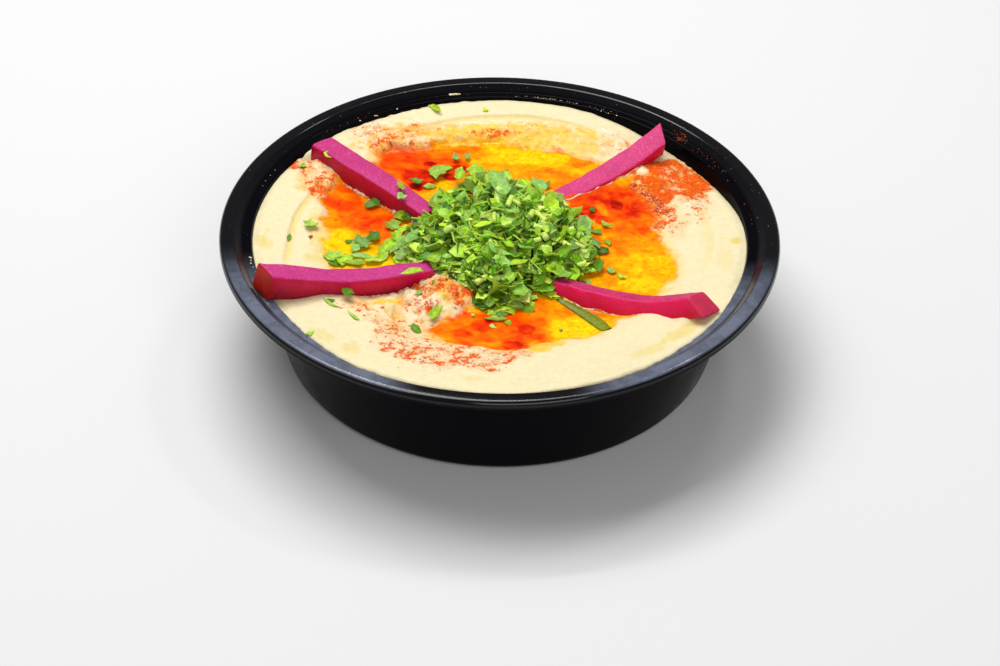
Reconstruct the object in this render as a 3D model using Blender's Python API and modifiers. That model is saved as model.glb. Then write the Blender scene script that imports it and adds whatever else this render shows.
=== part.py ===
"""Hummus in its bowl, with four pickled turnip sticks and a heap of chopped parsley.

A round black takeaway bowl has a flat lip with a downturned skirt, a step inside the lip
and a narrow ledge. The hummus fills it to the ledge. A spoon has pressed a moat round a low
middle and left a groove round the edge. The four sticks lie from the edge to the middle, and
the heap of parsley covers their inner ends.

Units are metres and +Z is up. The origin is the middle of the base. The front is -Y.
"""
import math

import bmesh
import bpy
from mathutils import Vector

NAME = "hummus_bowl"

# The bowl
RIM_R = 0.0925               # outer radius of the lip
HEIGHT = 0.0450              # from the base to the top of the lip
WALL = 0.0009                # thickness of the plastic
SKIRT = 0.0030               # height of the lip's downturned edge
LIP_IN = 0.0876              # inner radius of the flat lip
LEDGE_OUT = 0.0854           # the ledge's outer and inner radius
LEDGE_IN = 0.0820
LEDGE_Z = HEIGHT - 0.0024    # the ledge's height
BASE_R = 0.0716              # outer radius that the body's wall would reach at the base
CORNER = 0.0050              # radius between the base and the wall
TURN_STEPS = 72              # sides of the turned shapes

GAP = 0.0003                 # clearance between pieces that touch
HEAP_GAP = 0.0005            # clearance under the heap, on the uneven hummus

# The hummus
FILL_Z = 0.0422              # height where the hummus meets the wall
FRONT_RISE = 0.0018          # how much more it is heaped at the front
FRONT = -85.0                # the direction of that heap, in degrees from +X
SPILL_HALF = 24.0            # half of the angle over which it covers the ledge to the step
SPILL_FADE = 17.0            # further angle over which it draws back off the ledge
LOW_DROP = 0.0042            # how much lower it is at the back right
LOW_SIDE = 36.0              # the direction of that low place
LOW_HALF = 40.0
MOAT_R = 0.0460              # the middle of the spooned moat
MOAT_HALF = 0.0230
MOAT_DEPTH = 0.0040
MIDDLE_Z = -0.0010           # the middle's height, from FILL_Z
GROOVE_R = 0.0712            # the groove near the edge, which is further out at the right
GROOVE_SHIFT = 0.0032
GROOVE_HALF = 0.0040
GROOVE_DEPTH = 0.0010
MOUND = (-0.0190, -0.0340)   # a rough mound that crosses the moat
MOUND_R = 0.0170
MOUND_H = 0.0026
HUMMUS_RINGS = 19

# The pickled turnip sticks. Each route runs from the outer to the inner end, along the middle
# of the stick. Taper is the inner end's share of the section, and top the share of the width
# at the upper face. Roll leans the top away from the viewer, and cut slants the outer end.
STICKS = {
    "pickle_1": {
        "route": [(-0.0619, 0.0457, 0.0425), (-0.0442, 0.0277, 0.0429), (-0.0240, 0.0098, 0.0400)],
        "width": 0.0098, "height": 0.0088, "taper": 0.80, "top": 1.0, "roll": 5.0, "cut": 0.0,
    },
    "pickle_2": {
        "route": [(0.0566, 0.0540, 0.0446), (0.0433, 0.0439, 0.0404), (0.0303, 0.0337, 0.0387),
                  (0.0176, 0.0238, 0.0378)],
        "width": 0.0084, "height": 0.0060, "taper": 0.77, "top": 1.0, "roll": 0.0, "cut": -24.0,
    },
    "pickle_3": {
        "route": [(-0.0752, -0.0370, 0.0480), (-0.0487, -0.0300, 0.0421),
                  (-0.0220, -0.0218, 0.0409)],
        "width": 0.0086, "height": 0.0092, "taper": 0.74, "top": 1.0, "roll": 0.0, "cut": 22.0,
    },
    "pickle_4": {
        "route": [(0.0650, -0.0436, 0.0470), (0.0502, -0.0386, 0.0413), (0.0342, -0.0346, 0.0411),
                  (0.0185, -0.0270, 0.0405)],
        "width": 0.0094, "height": 0.0074, "taper": 0.76, "top": 0.8, "roll": 16.0, "cut": -14.0,
    },
}
EDGE = 0.0006                # chamfer along a stick's edges

# The heap of chopped parsley
HEAP_AT = (0.0005, -0.0058)
HEAP_R = 0.0345
HEAP_H = 0.0088
HEAP_EDGE = 0.0010
HEAP_SIDES = 32
HEAP_RINGS = 6

BLACK = (0.010, 0.010, 0.014, 1.0)
CREAM = (0.86, 0.74, 0.48, 1.0)
MAGENTA = (0.56, 0.07, 0.22, 1.0)
GREEN = (0.13, 0.30, 0.03, 1.0)


def clear_scene():
    for item in list(bpy.data.objects):
        bpy.data.objects.remove(item)


def new_collection(name, parent, hidden=False):
    group = bpy.data.collections.new(name)
    parent.children.link(group)
    group.hide_render = hidden
    return group


def material(name, colour, roughness, metallic=0.0):
    made = bpy.data.materials.new(name)
    made.use_nodes = True
    shader = made.node_tree.nodes["Principled BSDF"]
    shader.inputs["Base Color"].default_value = colour
    shader.inputs["Roughness"].default_value = roughness
    shader.inputs["Metallic"].default_value = metallic
    made.diffuse_color = colour
    return made


def add_object(name, data, group):
    item = bpy.data.objects.new(name, data)
    group.objects.link(item)
    return item


# Shared maths

def ease(low, high, value):
    """0 below low, 1 above high and a smooth step between."""
    step = min(max((value - low) / (high - low), 0.0), 1.0)
    return step * step * (3.0 - 2.0 * step)


def bump(value, middle, half):
    """1 at the middle and 0 at half a width away, with no corner."""
    offset = min(abs(value - middle) / half, 1.0)
    return 0.5 + 0.5 * math.cos(math.pi * offset)


def turned_from(angle, direction):
    """The smaller angle between two directions, in degrees."""
    return abs((angle - direction + 180.0) % 360.0 - 180.0)


# The bowl

def fillet(corners, steps=2):
    """An outline from (radius, height, fillet) corners, with each corner made an arc."""
    outline = []
    for place, (radius, height, size) in enumerate(corners):
        here = Vector((radius, height))
        if size == 0.0:
            outline.append(here)
            continue
        before = (Vector(corners[place - 1][:2]) - here).normalized()
        after = (Vector(corners[place + 1][:2]) - here).normalized()
        half = 0.5 * before.angle(after)
        centre = here + (before + after).normalized() * size / math.sin(half)
        start = (here + before * size / math.tan(half) - centre).normalized()
        finish = (here + after * size / math.tan(half) - centre).normalized()
        for step in range(steps + 1):
            outline.append(centre + size * start.slerp(finish, step / steps))
    return outline


def inner_corners(gap):
    """The bowl's inside, from the axis to the lip, set in by a gap."""
    wall_slope = (LEDGE_IN - BASE_R) / LEDGE_Z
    floor = WALL + gap
    floor_r = BASE_R - WALL + wall_slope * floor - gap
    return [
        (0.0, floor, 0.0),
        (floor_r, floor, CORNER - WALL),
        (LEDGE_IN - gap, LEDGE_Z + gap, 0.0004),
        (LEDGE_OUT - gap, LEDGE_Z + gap, 0.0003),
    ]


def outer_corners():
    """The bowl's outside, from the lip's inner edge down to the axis."""
    return [
        (LIP_IN, HEIGHT, 0.0005),
        (RIM_R, HEIGHT, 0.0007),
        (RIM_R, HEIGHT - SKIRT, 0.0003),
        (RIM_R - WALL, HEIGHT - SKIRT, 0.0),
        (RIM_R - WALL, HEIGHT - WALL, 0.0),
        (LIP_IN + WALL, HEIGHT - WALL, 0.0),
        (LEDGE_OUT + WALL, LEDGE_Z - WALL, 0.0),
        (LEDGE_IN + WALL, LEDGE_Z - WALL, 0.0),
        (BASE_R, 0.0, CORNER),
        (0.0, 0.0, 0.0),
    ]


def turned(name, outline, group):
    """A solid of revolution from an outline that starts and ends on the axis."""
    shape = bmesh.new()
    dots = [shape.verts.new((dot.x, 0.0, dot.y)) for dot in outline]
    for first, second in zip(dots, dots[1:]):
        shape.edges.new((first, second))
    mesh = bpy.data.meshes.new(name)
    shape.to_mesh(mesh)
    shape.free()
    item = add_object(name, mesh, group)
    screw = item.modifiers.new("turn", "SCREW")
    screw.steps = TURN_STEPS
    screw.render_steps = TURN_STEPS
    screw.use_merge_vertices = True
    screw.merge_threshold = 0.00001
    screw.use_smooth_shade = True
    return item


# The hummus

def spill(angle):
    """1 where the hummus covers the ledge, 0 where it ends at the wall."""
    return 1.0 - ease(SPILL_HALF, SPILL_HALF + SPILL_FADE, turned_from(angle, FRONT))


def hummus_top(x, y):
    """Height of the hummus at a place."""
    radius = math.hypot(x, y)
    angle = math.degrees(math.atan2(y, x))
    edge = ease(0.055, 0.080, radius)
    height = FILL_Z
    height += FRONT_RISE * bump(turned_from(angle, FRONT), 0.0, 65.0) * edge
    height -= LOW_DROP * bump(turned_from(angle, LOW_SIDE), 0.0, LOW_HALF) * edge
    height -= MOAT_DEPTH * bump(radius, MOAT_R, MOAT_HALF)
    height += MIDDLE_Z * (1.0 - ease(0.020, MOAT_R, radius))
    groove = GROOVE_R + GROOVE_SHIFT * math.cos(math.radians(angle))
    height -= GROOVE_DEPTH * bump(radius, groove, GROOVE_HALF) * (1.0 - spill(angle))
    from_mound = math.hypot(x - MOUND[0], y - MOUND[1])
    height += MOUND_H * bump(from_mound, 0.0, MOUND_R)
    height -= 0.0010 * ease(0.0785, LEDGE_IN, radius) * (1.0 - spill(angle))
    return height


def edge_radius(angle):
    """Radius where the hummus would end if the bowl had no wall."""
    return LEDGE_IN + 0.0005 + (LIP_IN - LEDGE_IN) * spill(angle)


def hummus_column(group):
    """The hummus before the bowl shapes it: its real top over a plain column."""
    shape = bmesh.new()
    foot = shape.verts.new((0.0, 0.0, 0.0))
    peak = shape.verts.new((0.0, 0.0, hummus_top(0.0, 0.0)))
    rings = []
    for ring in range(1, HUMMUS_RINGS + 1):
        row = []
        for side in range(TURN_STEPS):
            angle = 360.0 * side / TURN_STEPS
            radius = edge_radius(angle) * ring / HUMMUS_RINGS
            x = radius * math.cos(math.radians(angle))
            y = radius * math.sin(math.radians(angle))
            row.append(shape.verts.new((x, y, hummus_top(x, y))))
        rings.append(row)
    rings.append([shape.verts.new((dot.co.x, dot.co.y, 0.0)) for dot in rings[-1]])
    join_rings(shape, [peak], rings, [foot])
    mesh = bpy.data.meshes.new("hummus")
    shape.to_mesh(mesh)
    shape.free()
    return add_object("hummus", mesh, group)


def join_rings(shape, top, rings, bottom):
    """Skin a stack of equal rings, closed by a fan to a single point at each end."""
    count = len(rings[0])
    for side in range(count):
        after = (side + 1) % count
        shape.faces.new((top[0], rings[0][side], rings[0][after]))
        shape.faces.new((bottom[0], rings[-1][after], rings[-1][side]))
        for upper, lower in zip(rings, rings[1:]):
            shape.faces.new((upper[side], lower[side], lower[after], upper[after]))


# The sticks

def stick_section(width, height, top, lean):
    """A square with chamfered corners, as a closed curve that other curves carry."""
    corners = []
    for across, up in ((1, 1), (-1, 1), (-1, -1), (1, -1)):
        side = across * width / 2 * (top if up > 0 else 1.0)
        near = (side - across * EDGE, up * height / 2)
        far = (side, up * (height / 2 - EDGE))
        corners += [near, far] if across * up < 0 else [far, near]
    curve = bpy.data.curves.new("section", "CURVE")
    line = curve.splines.new("POLY")
    line.points.add(len(corners) - 1)
    for point, (across, up) in zip(line.points, corners):
        point.co = (across * math.cos(lean) - up * math.sin(lean),
                    across * math.sin(lean) + up * math.cos(lean), 0.0, 1.0)
    line.use_cyclic_u = True
    return curve


def stick(name, spec, grow, group):
    """A bent stick, made a mesh. Grow thickens it all round, for a cutter."""
    route = [Vector(point) for point in spec["route"]]
    route[0] += (route[0] - route[1]).normalized() * (grow + 0.004)
    route[-1] += (route[-1] - route[-2]).normalized() * grow
    outward_is_left = route[0].x < route[-1].x
    lean = math.radians(spec["roll"] if outward_is_left else -spec["roll"])
    section = add_object(name + "_section", stick_section(
        spec["width"] + 2 * grow, spec["height"] + 2 * grow, spec["top"], lean), group)
    curve = bpy.data.curves.new(name, "CURVE")
    curve.dimensions = "3D"
    curve.twist_mode = "Z_UP"
    curve.resolution_u = 4
    curve.bevel_mode = "OBJECT"
    curve.bevel_object = section
    curve.use_fill_caps = True
    line = curve.splines.new("BEZIER")
    line.bezier_points.add(len(route) - 1)
    for place, point in enumerate(route):
        knot = line.bezier_points[place]
        knot.co = point
        knot.handle_left_type = "AUTO"
        knot.handle_right_type = "AUTO"
        knot.radius = 1.0 + (spec["taper"] - 1.0) * place / (len(route) - 1)
    carrier = add_object(name + "_curve", curve, group)
    bpy.context.view_layer.update()
    ready = carrier.evaluated_get(bpy.context.evaluated_depsgraph_get())
    mesh = bpy.data.meshes.new_from_object(ready)
    bpy.data.objects.remove(carrier)
    bpy.data.objects.remove(section)
    slant_outer_end(mesh, Vector(spec["route"][0]), route[0] - route[1], spec["cut"], grow)
    return add_object(name, mesh, group)


def slant_outer_end(mesh, end, outward, cut, grow):
    """Trim the outer end with a plane turned from square by the cut angle."""
    shape = bmesh.new()
    shape.from_mesh(mesh)
    bmesh.ops.remove_doubles(shape, verts=shape.verts, dist=0.00001)
    facing = outward.normalized()
    flat = Vector((facing.x, facing.y)).normalized()
    turn = math.radians(cut)
    spun = Vector((flat.x * math.cos(turn) - flat.y * math.sin(turn),
                   flat.x * math.sin(turn) + flat.y * math.cos(turn)))
    level = math.hypot(facing.x, facing.y)
    facing = Vector((spun.x * level, spun.y * level, facing.z))
    sliced = bmesh.ops.bisect_plane(shape, geom=shape.verts[:] + shape.edges[:] + shape.faces[:],
                                    plane_co=end + facing * grow, plane_no=facing,
                                    clear_outer=True)
    rim = [part for part in sliced["geom_cut"] if isinstance(part, bmesh.types.BMEdge)]
    bmesh.ops.contextual_create(shape, geom=rim)
    bmesh.ops.recalc_face_normals(shape, faces=shape.faces)
    shape.to_mesh(mesh)
    shape.free()


# The heap of parsley

def heap_outline(angle):
    """The heap's radius in a direction, in degrees, with an uneven edge."""
    turn = math.radians(angle)
    return HEAP_R * (1.0 + 0.03 * math.cos(2 * turn + 0.6) + 0.03 * math.sin(3 * turn + 1.1)
                     + 0.02 * math.cos(7 * turn))


def heap_thickness(share, angle):
    """Thickness at a share of the radius: a rounded heap with knobbly clumps."""
    turn = math.radians(angle)
    clumps = 0.16 * math.sin(5 * turn + 9 * share) + 0.14 * math.cos(3 * turn - 11 * share)
    dome = (1.0 - share * share) ** 0.7
    return HEAP_EDGE + HEAP_H * dome * (1.0 + clumps * share)


def parsley_heap(group):
    """A closed body between the hummus and the heap's uneven top."""
    shape = bmesh.new()
    x, y = HEAP_AT
    seat = hummus_top(x, y) + HEAP_GAP
    peak = shape.verts.new((x, y, seat + heap_thickness(0.0, 0.0)))
    foot = shape.verts.new((x, y, seat))
    upper, lower = [], []
    for ring in range(1, HEAP_RINGS + 1):
        share = ring / HEAP_RINGS
        top_row, low_row = [], []
        for side in range(HEAP_SIDES):
            angle = 360.0 * side / HEAP_SIDES
            radius = heap_outline(angle) * share
            x = HEAP_AT[0] + radius * math.cos(math.radians(angle))
            y = HEAP_AT[1] + radius * math.sin(math.radians(angle))
            seat = hummus_top(x, y) + HEAP_GAP
            top_row.append(shape.verts.new((x, y, seat + heap_thickness(share, angle))))
            low_row.append(shape.verts.new((x, y, seat)))
        upper.append(top_row)
        lower.append(low_row)
    join_rings(shape, [peak], upper + lower[::-1], [foot])
    mesh = bpy.data.meshes.new("parsley_heap")
    shape.to_mesh(mesh)
    shape.free()
    return add_object("parsley_heap", mesh, group)


def cut(item, cutter, operation):
    step = item.modifiers.new(operation.lower() + "_" + cutter.name, "BOOLEAN")
    step.operation = operation
    step.solver = "EXACT"
    step.object = cutter
    cutter.hide_render = True
    cutter.display_type = "WIRE"


def shade_smooth(item):
    for face in item.data.polygons:
        face.use_smooth = True


def build():
    clear_scene()
    parts = new_collection(NAME, bpy.context.scene.collection)
    cutters = new_collection("cutters", bpy.context.scene.collection, hidden=True)

    bowl = turned("bowl", fillet(inner_corners(0.0) + outer_corners()), parts)
    bowl.data.materials.append(material("black_plastic", BLACK, 0.25))

    space = fillet(inner_corners(GAP) + [(LIP_IN - GAP, HEIGHT, 0.0), (0.0, HEIGHT, 0.0)])
    cavity = turned("cavity", space[::-1], cutters)
    hummus = hummus_column(parts)
    hummus.data.materials.append(material("cream_hummus", CREAM, 0.45))
    shade_smooth(hummus)
    cut(hummus, cavity, "INTERSECT")

    heap = parsley_heap(parts)
    heap.data.materials.append(material("chopped_parsley", GREEN, 0.6))

    pink = material("pickled_turnip", MAGENTA, 0.4)
    for name, spec in STICKS.items():
        bar = stick(name, spec, 0.0, parts)
        bar.data.materials.append(pink)
        room = stick(name + "_room", spec, GAP, cutters)
        cut(hummus, room, "DIFFERENCE")
        cut(heap, room, "DIFFERENCE")


build()
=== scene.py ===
"""Looks for hummus in its bowl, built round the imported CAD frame.

The bowl is black plastic. The hummus is one uneven surface with a spooned moat, where oil and
paprika lie. The turnip sticks, the chopped parsley, the paprika grains and the crumbs on the
rim are pieces of their own. Lengths are metres. MM turns the millimetres of a list into them.
"""
import math

import bpy
import numpy as np
from mathutils import Matrix, Vector


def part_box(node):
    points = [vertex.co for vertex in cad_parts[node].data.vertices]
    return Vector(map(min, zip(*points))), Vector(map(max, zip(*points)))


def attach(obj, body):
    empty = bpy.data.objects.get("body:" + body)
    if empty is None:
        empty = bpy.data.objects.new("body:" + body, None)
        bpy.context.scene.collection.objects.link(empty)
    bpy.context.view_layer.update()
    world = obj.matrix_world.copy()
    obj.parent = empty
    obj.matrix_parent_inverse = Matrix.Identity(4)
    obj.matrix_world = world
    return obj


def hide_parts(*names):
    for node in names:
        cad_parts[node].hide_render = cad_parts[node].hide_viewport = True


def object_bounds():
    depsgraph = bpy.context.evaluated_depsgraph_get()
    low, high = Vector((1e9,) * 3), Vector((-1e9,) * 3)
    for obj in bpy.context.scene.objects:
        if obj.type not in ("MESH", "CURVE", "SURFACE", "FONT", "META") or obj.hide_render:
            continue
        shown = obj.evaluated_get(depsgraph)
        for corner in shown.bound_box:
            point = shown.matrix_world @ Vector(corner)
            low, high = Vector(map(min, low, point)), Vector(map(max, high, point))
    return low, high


MM = 0.001
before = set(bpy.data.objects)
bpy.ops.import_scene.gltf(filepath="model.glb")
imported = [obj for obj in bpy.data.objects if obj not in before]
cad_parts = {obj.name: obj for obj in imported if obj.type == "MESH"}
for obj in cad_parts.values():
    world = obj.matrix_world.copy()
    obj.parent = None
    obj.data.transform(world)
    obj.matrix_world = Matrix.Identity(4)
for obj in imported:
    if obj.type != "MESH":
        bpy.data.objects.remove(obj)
cad_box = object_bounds()
bowl_low, bowl_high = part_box("bowl")
RIM_R = bowl_high[0]
RIM_Z = bowl_high[2]

# The bowl's section, as in the CAD
WALL = 0.9 * MM
SKIRT = 3.0 * MM
LIP_IN = RIM_R - 4.9 * MM
LEDGE_OUT = RIM_R - 7.6 * MM
LEDGE_IN = RIM_R - 10.5 * MM
LEDGE_Z = RIM_Z - 2.4 * MM
BASE_R = RIM_R - 20.9 * MM
CORNER = 5.0 * MM
BOWL_SIDES = 256

# The hummus surface
FILL_Z = RIM_Z - 2.8 * MM
FRONT = -85.0
MOAT_R = 46.0 * MM
MOAT_HALF = 23.0 * MM
MOUND = (-19.0 * MM, -34.0 * MM)
HUMMUS_SPOKES = 560
HUMMUS_RINGS = 160

# Heap of parsley
HEAP_AT = (0.5 * MM, -5.8 * MM)
HEAP_R = 34.5 * MM
HEAP_H = 8.8 * MM
TOP_Z = cad_box[1][2] - 0.1 * MM      # nothing stands higher


# Shared maths

def ease(low, high, value):
    step = np.clip((value - low) / (high - low), 0.0, 1.0)
    return step * step * (3.0 - 2.0 * step)


def bump(offset, half):
    """1 at zero, falling smoothly to 0 at half."""
    return 0.5 + 0.5 * np.cos(np.pi * np.clip(np.abs(offset) / half, 0.0, 1.0))


def lattice(column, row, seed):
    """A repeatable random value from 0 to 1 at each lattice point."""
    mixed = (column * 374761393 + row * 668265263 + seed * 974634777) & 0xFFFFFFFF
    mixed = ((mixed ^ (mixed >> 13)) * 1274126177) & 0xFFFFFFFF
    return ((mixed ^ (mixed >> 16)) & 0xFFFF) / 65535.0


def noise(x, y, size, seed):
    """Smooth value noise from -1 to 1 with lumps of about the given size."""
    u = np.asarray(x) / size
    v = np.asarray(y) / size
    column = np.floor(u).astype(np.int64)
    row = np.floor(v).astype(np.int64)
    across = u - column
    up = v - row
    across = across * across * (3 - 2 * across)
    up = up * up * (3 - 2 * up)
    low = lattice(column, row, seed) * (1 - across) + lattice(column + 1, row, seed) * across
    high = (lattice(column, row + 1, seed) * (1 - across)
            + lattice(column + 1, row + 1, seed) * across)
    return 2.0 * (low * (1 - up) + high * up) - 1.0


def fractal(x, y, size, seed, octaves=4):
    total = 0.0
    weight = 1.0
    for octave in range(octaves):
        turned_x = x * math.cos(octave) - y * math.sin(octave)
        turned_y = x * math.sin(octave) + y * math.cos(octave)
        total = total + weight * noise(turned_x, turned_y, size / 2 ** octave, seed + octave)
        weight *= 0.5
    return total / 1.9


def degrees_from(angle, direction):
    return np.abs((angle - direction + 180.0) % 360.0 - 180.0)


def patches(x, y, blobs, ragged=0.25, grain=5.0 * MM, seed=50):
    """How strongly each place lies in any of the soft ellipses (x, y, half, half, turn, weight).

    The blobs are in millimetres and degrees. Ragged breaks up their edges with noise.
    """
    broken = ragged * fractal(x, y, grain, seed)
    total = np.zeros_like(x)
    for centre_x, centre_y, half_x, half_y, turn, weight in blobs:
        lean = math.radians(turn)
        along = (x / MM - centre_x) * math.cos(lean) + (y / MM - centre_y) * math.sin(lean)
        side = -(x / MM - centre_x) * math.sin(lean) + (y / MM - centre_y) * math.cos(lean)
        distance = np.hypot(along / half_x, side / half_y) + broken
        total = np.maximum(total, weight * (1.0 - ease(0.55, 1.10, distance)))
    return total


# Outlines of the oil pools in plan, in millimetres
POOLS = [
    [(-24, 10), (-44, 28), (-47, 34), (-43, 42), (-43, 48), (-38, 52), (-29, 52), (-20, 56),
     (-12, 57), (-3, 58), (4, 56), (12, 55), (20, 53), (26, 50), (31, 48), (38, 44), (36, 38),
     (26, 32), (17, 24), (0, 15)],
    [(-24, 10), (-44, 28), (-50, 32), (-56, 31), (-59.5, 25), (-59.5, 14), (-60, 9), (-57, 3),
     (-58.5, -4), (-57.5, -10), (-56, -15), (-51, -24), (-30, -24), (-20, -8)],
    [(14, 18), (18, 24), (30, 34), (40, 41), (46, 37), (47, 31), (51, 23), (53, 17), (54, 12),
     (52, 8), (54, 3), (55, -2), (57, -8), (58, -15), (57, -21), (53, -26), (49, -34),
     (34, -34), (18, -27), (16, 0)],
    [(-6, -28), (-8, -36), (-14, -42), (-20, -46), (-23, -51), (-19, -57), (-8, -59),
     (-2, -61), (5, -62), (10, -60), (13, -57), (20, -55), (27, -54), (32, -52), (36, -48),
     (39, -44), (44, -41), (34, -35), (18, -27), (0, -26)],
]
# Soft ellipses, in millimetres and degrees: x, y, half width, half height, turn, strength.
# HEAT runs from the oil's yellow at 0, by orange at 0.6, to red at 1.0 and dark red at 1.3.
HEAT = [
    (-33, 43, 17, 16, -30, 0.72), (-17, 42, 10, 7, 0, 0.74), (-12, 50, 12, 5, 0, 0.48),
    (10, 34, 26, 8, 0, 0.30), (28, 47, 7, 4, 30, 0.42), (18, 40, 10, 3, 20, 0.32),
    (21, 52, 7, 2, -10, 0.45), (4, 43, 12, 3, 0, 0.18),
    (-53, 22, 8, 12, 0, 0.66), (-46, 12, 14, 12, -30, 0.66), (-38, 5, 10, 6, 0, 0.46),
    (-57, 10, 5, 10, 0, 0.40), (-36, -2, 6, 5, 0, 0.4),
    (36, 22, 18, 14, 0, 0.82), (46, 14, 12, 14, 10, 0.64), (45, 3, 12, 9, 0, 0.42),
    (34, -6, 9, 16, 0, 0.32), (44, -3, 16, 6, 20, 0.22),
    (42, -16, 12, 6, 30, 0.2),
    (-8, -48, 20, 12, 0, 0.57), (6, -50, 13, 13, 0, 0.66), (8, -38, 10, 8, 0, 0.50),
    (-2, -56, 16, 6, 0, 0.58), (18, -38, 10, 5, -20, 0.32), (30, -38, 9, 3, -28, 0.5),
]
DEEP = [
    (-25, 43.5, 3.6, 2.6, 20, 1.12), (-29, 36, 8, 8, 0, 0.95), (-15, 41, 5, 4, 0, 1.12),
    (-28, 31, 6, 4, 0, 1.15), (-17, 36, 4, 3, 0, 1.0),
    (39.5, 20.5, 2.8, 4.6, 15, 1.18), (39, 26, 5, 4, 0, 1.02), (30, 16, 4.5, 5.5, 0, 1.0),
    (33, 24, 8, 4, 20, 0.92), (47, 21, 4, 6, 20, 0.9), (34, 12, 3, 3, 0, 0.95),
    (-44, 9, 7, 4, 0, 0.84), (-52, 17, 5, 5, 0, 0.82), (-38, 11, 7, 3, -20, 0.84),
    (9, -48, 4, 4.5, 0, 1.0), (5, -57, 5, 4, 0, 0.92), (-5, -47, 7, 4, 0, 0.86),
    (0, -36, 6, 4, 0, 1.0), (-11, -51, 4, 3, 0, 0.85), (-15, -42, 7, 3, 30, 0.8),
]
BRIGHT = [
    (6, 49, 22, 5, 0, 0.3), (-52, -6, 9, 13, 0, 0.3), (-42, -13, 9, 6, 0, 0.4),
    (46, -12, 6, 8, 0, 0.18), (47, -24, 9, 5, -20, 0.34), (25, -48, 11, 6, 0, 0.5),
    (34, 19, 2, 5, 20, 0.35), (-19, -44, 6, 2.5, 0, 0.2), (-4, -57, 6, 2, 0, 0.25),
]
DUST = [
    (58, 36, 15, 18, 25, 1.0), (65, 34, 9, 10, 30, 1.0), (52, 24, 8, 14, 15, 0.95),
    (55, 14, 6, 9, 0, 0.8), (59, 6, 5, 8, 0, 0.50), (52, 43, 8, 9, 0, 0.72),
    (67, 22, 7, 10, 0, 0.55), (65, 12, 6, 6, 0, 0.42), (38, 56, 16, 9, 0, 0.36),
    (14, 62, 22, 7, 0, 0.30), (-5, 59, 12, 4, 12, 0.62), (-14, 57, 14, 4, 0, 0.45),
    (-36, 54, 14, 10, 10, 0.60), (-47, 60, 10, 9, 30, 0.46), (-26, 62, 10, 5, 30, 0.45),
    (-43, 67, 8, 4, 35, 0.36), (-24, 52, 7, 5, 0, 0.6),
    (-64, 32, 8, 12, 20, 0.62), (-60, 25, 6, 9, 0, 0.85), (-56, 30, 7, 5, 0, 0.7),
    (-70, 38, 4, 4, 0, 0.8), (-18, -66, 18, 10, 0, 0.66), (-4, -68, 13, 9, 0, 0.68),
    (-33, -56, 9, 13, 15, 0.56), (-14, -58, 18, 8, 0, 0.58), (-36, -46, 9, 7, 0, 0.52),
    (-19, -27, 12, 7, 0, 0.66), (-12, -33, 8, 9, 0, 0.74), (-25, -38, 9, 8, 0, 0.62),
    (-44, -41, 10, 4, 0, 0.55), (-24, -47, 7, 4, 0, 0.6), (7, -65, 6, 5, 0, 0.6),
]
STAIN = [
    (5, 59, 34, 9, 0, 1.0), (28, 55, 10, 11, 0, 0.8), (-20, 58, 14, 5, 0, 0.8),
    (-36, -36, 6, 3, 20, 1.0), (-38, -44, 12, 6, 0, 0.5), (11, -61, 8, 3, -10, 1.0),
    (15, -57, 8, 3, -8, 1.0), (-33, -52, 8, 8, 0, 0.4), (-13, -32, 10, 9, 0, 0.7),
    (-59, 0, 6, 18, 0, 0.6), (52, -27, 8, 5, 0, 0.6),
]
PINKISH = [
    (-42, -36, 12, 5, 10, 0.8), (-34, -35, 6, 6, 0, 0.7), (-35, 54, 18, 12, 20, 1.5),
    (35, 57, 10, 8, 0, 0.6), (60, 38, 14, 16, 0, 1.2), (-30, -47, 8, 6, 0, 0.5),
    (-63, 30, 8, 10, 0, 1.0), (52, 24, 8, 13, 0, 1.1), (-16, 59, 16, 6, 0, 1.1),
    (8, 61, 20, 5, 0, 0.6), (-14, -30, 11, 9, 0, 1.1), (58, 10, 6, 10, 0, 0.45),
    (-14, -56, 17, 6, 0, 0.5), (-28, -50, 8, 8, 20, 0.4), (4, -62, 14, 4, 0, 0.4),
]
GREENISH = [
    (57, -54, 9, 3, 42, 0.55), (47, -63, 7, 2.5, 30, 0.40), (-55, -58, 6, 3, -30, 0.40),
    (78, -2, 2, 2, 0, 0.85), (-7, -79, 5, 2, 0, 0.4), (-46, -64, 4, 4, 0, 0.4),
    (-78, -7, 2.5, 6, 25, 0.45), (74, -12, 3, 12, 0, 0.22), (-60, -15, 4, 3, 0, 0.5),
]
ROUGH = [
    (-20, -33, 16, 14, 0, 3.0), (-34, -40, 12, 10, 0, 2.1), (-14, -62, 28, 12, 0, 0.30),
    (5, 60, 34, 9, 0, 1.7), (36, 56, 12, 10, 0, 1.6), (-36, 56, 18, 12, 0, 1.9),
    (60, 36, 15, 20, 0, 1.4), (48, 25, 5, 11, 25, 1.6), (-62, 34, 8, 11, 0, 1.0),
    (-50, -36, 14, 4, 0, 0.6), (57, 12, 8, 10, 0, 0.35),
]
# Lines the spoon left, outer side first: points in plan, depth and width inward, strength of the painted
# tan shade
CREASES = [
    ([(-69, -24), (-70, -12), (-69.5, 0), (-67.5, 12), (-63, 24), (-60, 30)], 1.0, 5.0, 0.85),
    ([(-38, 60), (-28, 63.5), (-18, 68), (-6, 70.5), (6, 71), (18, 69.5), (28, 65.5),
      (36, 59), (41, 53)], 1.1, 4.5, 0.80),
    ([(-24, 60), (-12, 65), (0, 67), (12, 67), (22, 64)], 0.5, 3.0, 0.35),
    ([(66, 24), (69, 12), (70, 0), (69, -12), (66, -22)], 0.7, 5.0, 0.40),
    ([(-79, -12), (-77.5, -4), (-76, 2)], 0.4, 2.0, 0.45),
    ([(-56, -64), (-40, -70), (-22, -76)], 0.35, 6.0, 0.10),
]
POOL_Z = RIM_Z - 5.35 * MM      # level of the oil in the moat
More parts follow.
